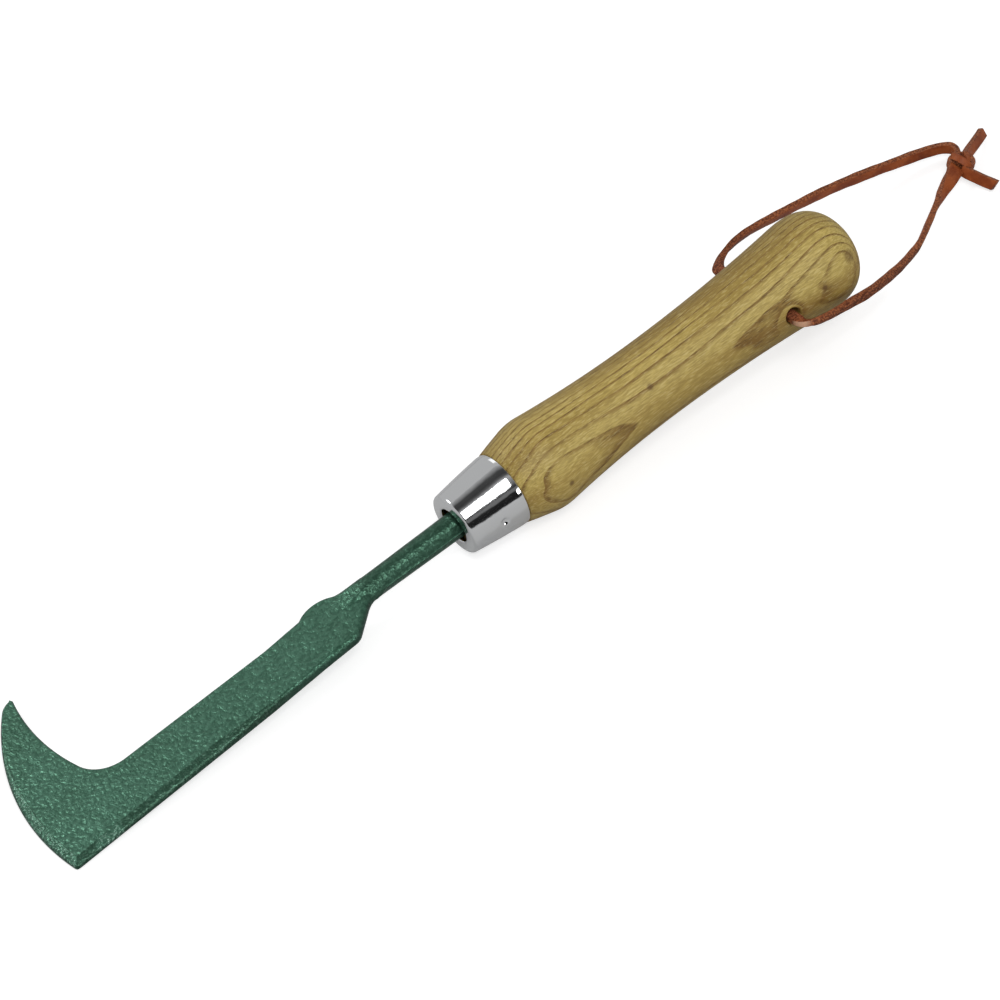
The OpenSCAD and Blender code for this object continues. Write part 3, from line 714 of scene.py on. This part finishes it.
def ferrule_part():
    """The closed profile in six stretches, spun round the axis: front face, round corner, wall, rolled
    end, inside and turned-in front. The bowl's depth falls with the distance from its middle."""
    turn = np.radians(np.linspace(0, 90, 12))
    corner_r = ferrule_radius(FRONT_ROUND) - FRONT_ROUND
    bend = np.stack([FRONT_ROUND * (1 - np.sin(turn)), corner_r + FRONT_ROUND * np.cos(turn)], -1)[::-1]
    side_x = np.linspace(FRONT_ROUND, FERRULE_LENGTH - 0.2, 110)[1:]
    side = np.stack([side_x, ferrule_radius(side_x)], -1)
    end = np.array([(21.52, 13.16), (21.58, 13.0), (21.6, 12.8), (21.5, 12.5)])
    back_x = np.linspace(21.3, 2.2, 40)
    inner = np.stack([back_x, ferrule_radius(back_x) - SHEET + 0.3 * (back_x > 19)], -1)
    front = np.array([(1.2, 9.6), (1.0, 9.0), (1.0, 6.7), (0.85, 6.45), (0.5, 6.4), (0.15, 6.45),
                      (0.0, 6.7)])
    face = np.stack([np.zeros(8), np.linspace(7.2, corner_r - 0.2, 8)], -1)
    profile = np.concatenate([face, bend, side, end, inner, front])
    points = spun(profile[:, 0], profile[:, 1], FERRULE_AROUND)
    away = np.sqrt((points[..., 0] - DIMPLE_X) ** 2 + points[..., 2] ** 2)
    bowl = DIMPLE_DEPTH * np.clip(1 - (away / DIMPLE_R) ** 2, 0, 1) ** 1.5
    lip = -0.05 * np.exp(-((away - DIMPLE_R * 1.25) / 0.35) ** 2)
    on_wall = (points[..., 1] < 0) & (profile[:, 0] > 3)[:, None]
    points[..., 1] += np.where(on_wall, bowl + lip, 0)
    return points, grid_faces(len(profile), FERRULE_AROUND, wrap_rows=True)


# %% Chrome material
def chrome_material():
    """A mirror whose roughness wavers between 0.05 and 0.11 with a noise of about a centimetre."""
    material, shader, place = new_material("bright_plating")
    feed(shader, {"Base Color": (0.80, 0.81, 0.82, 1.0), "Metallic": 1.0,
                  "Roughness": spread(noise(place, 90, 3, 0.6), 0.3, 0.7, 0.05, 0.11)})
    bumped(shader, noise(place, 220), 0.00006)
    return material


ferrule_points, ferrule_faces = ferrule_part()
make_piece("pressed_ferrule", [(lay(ferrule_points), ferrule_faces)], chrome_material(),
           "tool", "ferrule")

# %% [markdown]
# ## The forged blade
# The blade is one forging: a round neck, hammered flat into a shoulder, and a flat strip that turns
# up into a hook. An extruded outline would be knife sharp all round, so a section is carried along
# instead. Its ends run along both sides of the outline, and each of its points knows how far it is
# from the edge, so that rounding and bevel follow a formula.

# %% Blade outline
REACH = 171.0
SHOULDER_X = -53.3
NECK_END = 5.0
NECK_R = (4.6, 4.3)
NECK_LENGTH = 30.8
FLARE_C, FLARE_R = np.array([-42.39, 12.0]), 8.0
FLARE_END, HUMP_END = -46.07, -60.5
HUMP_C, HUMP_R = np.array([-53.3, -5.0]), 12.2
STEP_X, STEP_Y = [-133.5, -76.0, HUMP_END], [2.5, 3.4, 4.84]
DROP_C, DROP_R = np.array([-31.98, -18.0]), 14.0
SLANT = math.radians(41)
LOW_CORNER_C, LOW_CORNER_R = np.array([-53.078, -10.5]), 5.5
EDGE_SLOPE = 6.5 / 115.2
HEEL_Y, HEEL_R = 22.5, 1.2
OUTER_C, OUTER_R = np.array([-73.4, -9.4]), 97.6
NOSE_C, NOSE_R = np.array([-143.6, 47.6]), 7.17
TIP_C, TIP_R = np.array([-144.54, 53.9]), 0.8
INNER_C, INNER_R = np.array([-60.246, 31.0]), 87.0
CORNER_C, CORNER_R = np.array([-133.408, 14.5]), 12.0
EDGE_SHIFT = 0.12


def soft_max(a, b, k):
    """The larger of two values, with the crease between them filled over a width of k."""
    h = np.clip(0.5 + 0.5 * (a - b) / k, 0, 1)
    return b + (a - b) * h + k * h * (1 - h)


def soft_min(a, b, k):
    """The smaller of two values, with the ridge between them worn down over a width of k."""
    return -soft_max(-a, -b, k)


def neck_radius(x):
    """From the first of NECK_R at the ferrule to the second at the blade."""
    return NECK_R[1] + (NECK_R[0] - NECK_R[1]) * np.clip((x + NECK_LENGTH) / NECK_LENGTH, 0, 1)


def hook_side(x):
    """Height of the upper side over the axis: neck, flare, hump, step and the straight edge."""
    flare = FLARE_C[1] - bow(x, FLARE_C[0], FLARE_R)
    hump = HUMP_C[1] + bow(x, HUMP_C[0], HUMP_R)
    shape = np.select([x > FLARE_C[0], x > FLARE_END, x > HUMP_END], [np.full_like(x, 4.0), flare, hump],
                      np.interp(x, STEP_X, STEP_Y))
    return np.where(x > -46, soft_max(neck_radius(x), shape, 1.0), shape)


def under_side(x):
    """Depth of the lower side under the axis: neck, drop, slanted line, corner and the long edge."""
    drop = -DROP_C[1] - bow(x, DROP_C[0], DROP_R)
    corner = -LOW_CORNER_C[1] + bow(x, LOW_CORNER_C[0], LOW_CORNER_R)
    line_x = [LOW_CORNER_C[0] + LOW_CORNER_R * math.sin(SLANT), DROP_C[0] - DROP_R * math.sin(SLANT)]
    line_y = [-LOW_CORNER_C[1] + LOW_CORNER_R * math.cos(SLANT), -DROP_C[1] - DROP_R * math.cos(SLANT)]
    long_edge = LOW_CORNER_R - LOW_CORNER_C[1] + (LOW_CORNER_C[0] - x) * EDGE_SLOPE
    shape = np.select([x > DROP_C[0], x > line_x[1], x > line_x[0], x > LOW_CORNER_C[0]],
                      [np.full_like(x, 4.0), drop, np.interp(x, line_x, line_y), corner], long_edge)
    return np.where(x > -44, soft_max(neck_radius(x), shape, 1.8), shape)


test_x = np.array([-20.0, -40.0, -53.3, -70.0, -120.0])
print("upper side", hook_side(test_x).round(2), "lower side", under_side(test_x).round(2))

# %% [markdown]
# ## Two sides and their insets
# Each side is a polyline from the neck to the tip, and an inset is the same line moved into the
# metal. Away from corners that is a step along the normal. At the sharp heel the inset lines meet in
# a mitre, where the moved edge crosses the moved outer arc.

# %% Sides of the blade
HEEL_DROP = (HEEL_Y - HEEL_R + OUTER_C[1]) / (OUTER_R - HEEL_R)
HEEL_C = OUTER_C - (OUTER_R - HEEL_R) * np.array([math.sqrt(1 - HEEL_DROP ** 2), HEEL_DROP])


def arc(centre, radius, start, end, count):
    """Points centre + radius (cos a, sin a), with a from start to end. radius may change along the way."""
    a = np.linspace(start, end, count)
    return centre + np.stack([radius * np.cos(a), radius * np.sin(a)], -1)


def bearing(way):
    """The angle of a direction, from 0 to a full turn."""
    return math.atan2(way[1], way[0]) % (2 * math.pi)


def inward(points, left):
    """Unit normals of a polyline, to the left or the right of the way it runs, slightly smoothed."""
    along = np.gradient(points, axis=0)
    normal = unit(np.stack([-along[:, 1], along[:, 0]], -1)) * (1 if left else -1)
    return unit(normal + 0.5 * np.roll(normal, 1, 0) + 0.5 * np.roll(normal, -1, 0))


def upper_line():
    """The straight part as heights over x, then three arcs: inner corner, inside of the hook, tip. The
    inside's radius shrinks by 0.5 mm towards the tip."""
    x = np.arange(NECK_END, CORNER_C[0], -0.25)
    straight = np.stack([x, hook_side(x)], -1)
    corner_a = math.pi + math.asin((INNER_C[1] - CORNER_C[1]) / (INNER_R - CORNER_R))
    corner = arc(CORNER_C, CORNER_R, 1.5 * math.pi, corner_a, 60)
    tip_a = bearing(TIP_C - INNER_C)
    inner = arc(INNER_C, INNER_R - 0.5 * np.linspace(0, 1, 150) ** 2, corner_a, tip_a, 150)
    point = arc(TIP_C, TIP_R, tip_a - math.pi, math.radians(86), 24)
    return np.concatenate([straight, corner, inner[1:], point[1:]])


def lower_line(inset):
    """The lower side at one inset, always with as many points. Past the heel's own radius the edge and
    the outer arc are cut where they cross."""
    x = np.arange(NECK_END, -52.9, -0.25)
    near = np.stack([x, -under_side(x)], -1)
    near = near + inset * inward(near, left=False)
    line_from = LOW_CORNER_C + (LOW_CORNER_R - inset) * EDGE_OUT
    if inset < HEEL_R:
        line_to = HEEL_C + (HEEL_R - inset) * EDGE_OUT
        meet = HEEL_C + (HEEL_R - inset) * unit(HEEL_C - OUTER_C)
        heel = arc(HEEL_C, HEEL_R - inset, bearing(EDGE_OUT), bearing(HEEL_C - OUTER_C), 12)
    else:
        reach = line_from - OUTER_C
        b = float(reach @ EDGE_WAY)
        root = math.sqrt(b * b - float(reach @ reach) + (OUTER_R - inset) ** 2)
        meet = line_to = line_from + EDGE_WAY * (root - b)
        heel = np.repeat(line_to[None], 12, 0)
    edge = line_from + (line_to - line_from) * np.linspace(0, 1, 400)[:, None]
    nose_a, tip_a = bearing(NOSE_C - OUTER_C), bearing(TIP_C - NOSE_C)
    outer = arc(OUTER_C, OUTER_R - inset, bearing(meet - OUTER_C), nose_a, 260)
    nose = arc(NOSE_C, NOSE_R - inset, nose_a, tip_a, 60)
    point = arc(TIP_C, TIP_R - inset, tip_a, math.radians(94), 6)
    return np.concatenate([near, edge, heel[1:-1], outer, nose[1:], point[1:]])


# The long edge touches both corner circles: EDGE_OUT is its way out of the metal, EDGE_WAY runs along it.
gap = LOW_CORNER_C - HEEL_C
down = math.atan2(gap[1], gap[0]) - math.acos((HEEL_R - LOW_CORNER_R) / np.linalg.norm(gap))
EDGE_OUT = np.array([math.cos(down), math.sin(down)])
EDGE_WAY = np.array([EDGE_OUT[1], -EDGE_OUT[0]])
UPPER = upper_line()
UPPER_IN = inward(UPPER, left=True)
UPPER = UPPER - EDGE_SHIFT * np.clip((-40 - UPPER[:, :1]) / 20, 0, 1) * UPPER_IN
print("upper side", len(UPPER), "points, lower side", len(lower_line(0.0)), "points")

# %% [markdown]
# ## Stations
# A station joins a point of the upper side to one of the lower side. Along the straight part both
# have the same x. Round the hook the stations fan out: the inner corner faces the heel, and both
# sides reach the tip last.

# %% Stations of the blade
UPPER_INSETS = np.array([0.015, 0.06, 0.14, 0.26, 0.42, 0.65, 1.0, 1.5])
LOWER_INSETS = np.array([0.015, 0.06, 0.14, 0.26, 0.45, 0.8, 1.25, 1.75, 2.3, 2.7, 2.95, 3.25, 3.8])
LOWER = np.stack([lower_line(float(d)) for d in np.r_[0.0, LOWER_INSETS]])
ANCHORS = [
    ((-116, 2.6), (-116, -19.6)), ((-128, 2.5), (-138, -20.9)), ((-137, 3.1), (-169.7, -22.5)),
    ((-143, 7.5), (-170.7, -14)), ((-145.8, 16), (-171, -3)), ((-147.2, 28), (-167.9, 14)),
    ((-147, 38), (-161.5, 31)), ((-146, 46), (-152.4, 45)), ((-145.2, 50.5), (-148.8, 52.6)),
    ((-143.77, 53.7), (-146.3, 54.25))]
STEPS = [18, 22, 16, 16, 24, 24, 22, 14, 12, 12]


def nearest(points, place):
    """The index of the point with the least squared distance to a place."""
    return int(np.argmin(((points - np.array(place)) ** 2).sum(-1)))


def round_the_hook(line, places):
    """Stations from anchor to anchor up to the last point of the line, in as many steps as STEPS says."""
    at = [nearest(line, place) for place in places] + [len(line) - 1]
    return [int(round(v)) for a, b, n in zip(at, at[1:], STEPS) for v in np.linspace(a, b, n + 1)[1:]]


straight_x = np.r_[np.linspace(NECK_END, -31, 46), np.linspace(-31.5, -66, 90),
                   np.linspace(-66.8, -116, 70)]
upper_at = np.array([nearest(UPPER[:450], (x, hook_side(np.array([x]))[0])) for x in straight_x]
                    + round_the_hook(UPPER, [a for a, _ in ANCHORS]))
lower_at = np.array([int(np.argmin(np.abs(LOWER[0][:640, 0] - x))) for x in straight_x]
                    + round_the_hook(LOWER[0], [b for _, b in ANCHORS]))
print(len(upper_at), "stations, of them", sum(STEPS), "round the hook")

# %% [markdown]
# ## Thickness, bevel and neck
# The height of the upper face is worked out point by point. It starts from half the plate's
# thickness, which tapers towards the outer edge. The ground bevel is a slanted plane from the cutting
# edge, and runs out where its width goes to nothing. The round neck is a half circle, cut by the
# slanted flats that the hammer left, with a fillet into the plate.

# %% Heights
EDGE_HALF, SHOULDER_HALF = 1.3, 2.1
BEVEL_SLOPE = 0.42
BEVEL_WIDTH = 2.9
EDGE_ROUND = 0.75
HAMMER_DEPTH = 0.06
PLATE_START, FILLET_END = -31.5, -52
FLAT_X, FLAT_HEIGHT, FLAT_SLOPE = -49.3, 1.89, 0.1785


def half_thickness(x):
    """Half the plate's thickness, from EDGE_HALF at the hook's outer edge to SHOULDER_HALF."""
    return EDGE_HALF + (SHOULDER_HALF - EDGE_HALF) * (x + REACH) / (REACH + SHOULDER_X)


def edge_drop(inset, radius):
    """How far a quarter circle of that radius has fallen at a distance from the edge."""
    inset = np.minimum(inset, radius)
    return radius - np.sqrt(radius ** 2 - (radius - inset) ** 2)


def uneven(x, y, size, seed):
    """Gentle waves of about that size, as hammer blows leave them: a sum of five sines."""
    out = np.zeros_like(x)
    for k in range(5):
        a = seed + 2.4 * k
        out += np.sin((x * math.cos(a) + y * math.sin(a)) * (6.3 / size) * (1 + 0.23 * k) + 3.1 * k)
    return out / 5


def faces_of(x, y, inset, bevel, lower):
    """Heights of the upper and the lower face. bevel is the local width of the ground bevel. The forge
    left the lower side of the shoulder rounder than the rest."""
    half = half_thickness(x)
    plate = half * np.clip((PLATE_START - x) / 4.0, 0, 1) ** 0.7
    ground = np.where(lower & (inset < bevel + 0.4), half - BEVEL_SLOPE * (bevel - inset), 99.0)
    edge = np.where(lower, 2 * half - BEVEL_SLOPE * bevel, 2 * half)
    rounder = 1.25 * np.clip((x + 88) / 26, 0, 1) * np.clip((-34 - x) / 3, 0, 1)
    fallen = edge_drop(inset, np.minimum(EDGE_ROUND + np.where(lower, rounder, 0), 0.45 * edge))
    neck = np.sqrt(np.maximum(neck_radius(x) ** 2 - y ** 2, 1e-4))
    flat = np.maximum(FLAT_HEIGHT + FLAT_SLOPE * (x - FLAT_X), 0)
    neck = np.where(x < -30, soft_min(neck, flat, 0.5), neck)
    relief = HAMMER_DEPTH * np.clip((-30 - x) / 15, 0.35, 1) * np.clip(inset / 0.8, 0, 1)

    def joined(face, size, seed):
        """The face with the neck and the fillet between them, and its waves by themselves."""
        fillet = soft_max(face, neck * np.clip((x - FILLET_END) / 3, 0, 1), 0.5)
        height = np.where(x > PLATE_START, neck, np.where(x > FILLET_END, fillet, face))
        return height, relief * uneven(x, y, size, seed)

    top, top_waves = joined(soft_min(plate, ground, 0.22) - fallen, 9, 0.4)
    bottom, bottom_waves = joined(plate - fallen, 8, 1.7)
    return top + top_waves, -bottom + bottom_waves


# %% Blade surface
BEVEL_START_X, BEVEL_GROWTH = -75.8, 31.5
BEVEL_END_Y, BEVEL_FADE = 51.0, 40.0
HOOK_ZONE = (-130.0, -20.0)
HEEL_ZONE = (-150.0, -22.0)
FULL_INSETS_WIDTH = 8.0
WALL_SHARE = 0.55


def bevel_width(edge_x, edge_y):
    """The ground bevel's width at each place of the edge. It grows evenly along the long edge, within
    BEVEL_GROWTH of BEVEL_START_X, and fades up the hook, within BEVEL_FADE of BEVEL_END_Y."""
    along_edge = np.clip((BEVEL_START_X - edge_x) / BEVEL_GROWTH, 0, 1)
    up_hook = np.clip((BEVEL_END_Y - edge_y) / BEVEL_FADE, 0, 1)
    on_hook = (edge_x < HOOK_ZONE[0]) & (edge_y > HOOK_ZONE[1])
    return BEVEL_WIDTH * np.where(on_hook, up_hook, along_edge)


def station_points(a0, b0):
    """Each station seen from above: upper inset lines, the span between, lower inset lines. The points'
    distances from the edge come with them, and which are of the lower side. Where the blade is narrower
    than FULL_INSETS_WIDTH, the insets shrink with it."""
    width = np.linalg.norm(a0 - b0, axis=1)[:, None]
    room = np.clip(width / FULL_INSETS_WIDTH, 0, 1)
    uppers = a0[:, None] + (UPPER_INSETS * room)[..., None] * UPPER_IN[upper_at][:, None]
    lowers = b0[:, None] + (np.moveaxis(LOWER[1:, lower_at], 0, 1) - b0[:, None]) * room[..., None]
    t = np.linspace(0, 1, 18)[1:-1]
    between = uppers[:, -1:] * (1 - t)[:, None] + lowers[:, -1:] * t[:, None]
    plan = np.concatenate([uppers, between, lowers[:, ::-1]], 1)
    mid = np.repeat(np.minimum(9.0, width), len(t), 1)
    inset = np.concatenate([UPPER_INSETS * room, mid, (LOWER_INSETS * room)[:, ::-1]], 1)
    return plan, inset, np.arange(plan.shape[1]) >= len(UPPER_INSETS) + len(t) // 2


def wall(points, high, low):
    """Three points over each place of an outline, from WALL_SHARE of the way up to the same way down."""
    z = (high + low)[:, None] / 2 + np.array([WALL_SHARE, 0.0, -WALL_SHARE]) * (high - low)[:, None] / 2
    return np.concatenate([np.repeat(points[:, None], 3, 1), z[..., None]], -1)


def marked(above, below):
    """A mark in the order of the section: each wall has the value of the face's last point."""
    return np.concatenate([above, np.repeat(above[:, -1:], 3, 1), below[:, ::-1],
                           np.repeat(below[:, :1], 3, 1)], 1)


def blade_grid():
    """A closed section at each station, in the order upper face, wall, lower face, other wall, and two
    marks. ground is 1 on the bevel near the heel and 0.3 on the rest of it, and rim is 1 at the edges."""
    a0, b0 = UPPER[upper_at], LOWER[0][lower_at]
    plan, inset, is_lower = station_points(a0, b0)
    x, y = plan[..., 0], plan[..., 1]
    edge_x, edge_y = b0[:, :1], b0[:, 1:]
    bevel = bevel_width(edge_x, edge_y)
    top, bottom = faces_of(x, y, inset, bevel, is_lower)
    upper_face, lower_face = (np.concatenate([plan, z[..., None]], -1) for z in (top, bottom))
    loop = np.concatenate([upper_face, wall(b0, top[:, -1], bottom[:, -1]), lower_face[:, ::-1],
                           wall(a0, top[:, 0], bottom[:, 0])[:, ::-1]], 1)
    # ground marks the ground bevel: the paint puts painted glints where it is high, near the heel, and
    # painted shade where it is low, along the long edge.
    ground = np.clip((bevel + 0.3 - inset) / 0.6, 0, 1) * np.clip(bevel / 1.2, 0, 1) * is_lower
    ground = ground * np.where((edge_x < HEEL_ZONE[0]) & (edge_y > HEEL_ZONE[1]), 1.0, 0.3)
    # rim marks the edges, which the paint darkens as painted shade.
    rim = np.clip(1 - inset / 0.7, 0, 1) * np.clip((-36 - x) / 4, 0, 1)
    return loop, {"ground": marked(ground, 0 * ground), "rim": marked(rim, rim)}


def tang_grid(columns):
    """The square tang inside the wood: a blunt end and one more station before the neck."""
    a = np.linspace(0, 2 * np.pi, columns, endpoint=False)
    shape = np.maximum(np.abs(np.cos(a)), np.abs(np.sin(a)))
    ring = np.stack([np.cos(a) / shape, np.sin(a) / shape], -1)
    x, half = np.array([[83.0, 82.6, 5.01, 5.0], [1.5, 1.7, 3.1, 3.1]])[..., None, None]
    return np.concatenate([np.broadcast_to(x, (4, columns, 1)), half * ring], -1)


blade_loop, blade_marks = blade_grid()
columns = blade_loop.shape[1]
tang = tang_grid(columns)
print("blade grid", blade_loop.shape, "thickest", round(float(np.ptp(blade_loop[..., 2])), 2), "mm")

# %% [markdown]
# ## Hammered paint
# A hammer finish is an enamel that shrinks while it dries and leaves shallow, rounded cells with a
# slight sheen. Its relief is a fine noise bent by a slower one. The colour is lighter on the crests.
# Painted shade darkens the neck, the rims, and the ground bevel along the long edge and where a bevel
# runs out. Painted glints, light flecks, stand on the ground bevel, most near the heel, where the
# relief is rougher.

# %% Paint material
def paint_material():
    """Cells are a noise, read at places that a slower noise has bent. They set tone, sheen and relief."""
    material, shader, place = new_material("hammered_green_enamel")
    ground, rim = mark(shader, "ground"), mark(shader, "rim")
    bend = vectors("MULTIPLY", noise(place, 260, 1.0, output="Color"), (0.0018, 0.0018, 0.0018))
    bent = vectors("ADD", place, bend)
    cells, fine = noise(bent, 720, 2, 0.45), noise(bent, 1250, 2, 0.6)
    base = blend(spread(noise(place, 60), 0.3, 0.7), srgb(58, 100, 80), srgb(67, 111, 91))
    troughs, crests = blend(0.35, base, srgb(34, 72, 54)), blend(0.25, base, srgb(98, 144, 122))
    colour = blend(spread(cells, 0.36, 0.64), troughs, crests)
    # Painted shade: the rims, the blade's edges, are darkened.
    colour = blend(times(rim, 0.6), colour, srgb(24, 44, 36))
    # Painted shade: the neck is darkened, fully forward of x = -36 mm and fading out by x = -43 mm.
    along = add("SeparateXYZ", {"Vector": place}).outputs["X"]
    colour = blend(spread(along, -0.043, -0.036, 0.0, 0.45), colour, srgb(30, 58, 42))
    # Painted shade: the ground bevel along the long edge, and the fringe where a bevel runs out, are
    # darkened.
    painted_bevel_shade = times(spread(ground, 0.02, 0.25), spread(ground, 0.35, 0.7, 1.0, 0.0))
    colour = blend(times(painted_bevel_shade, 0.5), colour, srgb(30, 62, 44))
    # Painted glints: light flecks on the ground bevel, strongest near the heel.
    painted_glints = times(ground, spread(fine, 0.50, 0.64))
    colour = blend(times(painted_glints, 0.55), colour, srgb(140, 178, 160))
    feed(shader, {"Base Color": colour, "Metallic": 0.65,
                  "Roughness": spread(cells, 0.3, 0.7, 0.40, 0.30)})
    bumped(shader, plus(cells, times(fine, maths("MULTIPLY_ADD", ground, 0.6, 0.15))), 0.00042)
    return material


blade_points = np.concatenate([tang, blade_loop])
last_ring = np.arange(columns) + (len(blade_points) - 1) * columns
blade_faces = [*grid_faces(len(blade_points), columns), np.arange(columns)[::-1], last_ring]
make_piece("forged_blade", [(lay(blade_points), blade_faces)], paint_material(),
           "tool", "blade",
           {name: [np.zeros((len(tang), columns)), values] for name, values in blade_marks.items()})

# %% [markdown]
# ## Studio
# The table is a pale sheet that keeps the knife's shadow, and only the camera sees it and the world
# as white. An even world fills the shadows, and three soft lamps stand in front, on the right, and
# behind on the left. Polished metal shows its surroundings, so a drum of grey tones stands over the
# knife and a pale card behind it. Only reflections see them.

# %% Table and world
def stage_piece(name, corners, faces, material, marks):
    """A surface that belongs to the studio, not to the knife."""
    made = new_object(name, new_mesh(name, corners, faces, marks))
    made.data.materials.append(material)
    return made


TABLE_HALF = 4.0
sheet, shader, _ = new_material("pale_sheet")
seen = add("LightPath", {}, shader.id_data).outputs["Is Camera Ray"]
feed(shader, {"Base Color": (0.52, 0.52, 0.52, 1.0), "Roughness": 0.9, "Specular IOR Level": 0.0,
              "Emission Color": WHITE, "Emission Strength": times(seen, 0.68)})
table_corners = [(x * TABLE_HALF, y * TABLE_HALF, 0) for x, y in ((-1, -1), (1, -1), (1, 1), (-1, 1))]
stage_piece("table", table_corners, [(0, 1, 2, 3)], sheet, {})

world = bpy.data.worlds.new("studio")
bpy.context.scene.world = world
world.use_nodes = True
rays = add("LightPath", {}, world.node_tree).outputs
level = maths("MULTIPLY_ADD", rays["Is Glossy Ray"], 0.07, 0.42)
seen = maths("MAXIMUM", rays["Is Camera Ray"], rays["Is Transmission Ray"])
feed(world.node_tree.nodes["Background"], {"Color": WHITE, "Strength": maths("MAXIMUM", seen, level)})

# %% Lamps and cards
FERRULE_PLACE = (0.011, -0.016, 0.015)


def soft_lamp(name, place, aim, size, size_y, watts):
    """A rectangular lamp at a place, in metres, that looks at a point."""
    light = bpy.data.lights.new(name, "AREA")
    light.shape, light.size, light.size_y, light.energy = "RECTANGLE", size, size_y, watts
    back = unit(np.array(place, float) - np.array(aim, float))
    side = unit(np.cross([0, 0, 1.0], back))
    new_object(name, light).matrix_world = placed(side, np.cross(back, side), back, place)


def card(name, ends, tones, radius):
    """A part of a drum round the ferrule that only reflections see. ends are its two x. tones are its
    rows: degrees from the front horizon over the top, and the light."""
    angle = np.radians([row[0] for row in tones])
    corners = [(x, FERRULE_PLACE[1] - radius * math.cos(a), FERRULE_PLACE[2] + radius * math.sin(a))
               for a in angle for x in ends]
    paper, shader, _ = new_material(name + "_paper")
    feed(shader, {"Base Color": (0.0, 0.0, 0.0, 1.0), "Specular IOR Level": 0.0, "Emission Color": WHITE,
                  "Emission Strength": mark(shader, "shade")})
    made = stage_piece(name, corners, grid_faces(len(tones), 2, wrap_cols=False).tolist(), paper,
                       {"shade": np.repeat([row[1] for row in tones], 2)})
    made.visible_camera = made.visible_diffuse = made.visible_shadow = made.visible_transmission = False


soft_lamp("front_box", (-0.05, -0.777, 1.007), (-0.05, -0.016, 0.015), 0.56, 0.55, 6.5)
soft_lamp("right_box", (0.72, -1.47, 0.46), (0.0, -0.016, 0.015), 0.5, 0.34, 3.0)
soft_lamp("left_box", (-0.46, 0.84, 1.09), (-0.15, 0, 0), 0.42, 0.42, 5.0)
DRUM_TONES = [
    (1.5, 0.01), (22, 0.012), (24, 0.16), (32, 0.16), (34, 0.02), (67, 0.4), (71, 0.22), (75, 0.09),
    (81, 0.045), (95, 0.06), (102, 0.2), (112, 0.4)]
card("front_drum", (-2.5, 2.5), DRUM_TONES, 2.4)
card("sheen_card", (0.4, 1.1), [(124, 0.5), (130, 1.25), (146, 1.25), (152, 0.5)], 1.3)

# %% [markdown]
# ## Last measures
# The picture keeps plain colours, with no film look.

# %% Finish
bpy.context.scene.view_settings.view_transform = "Standard"
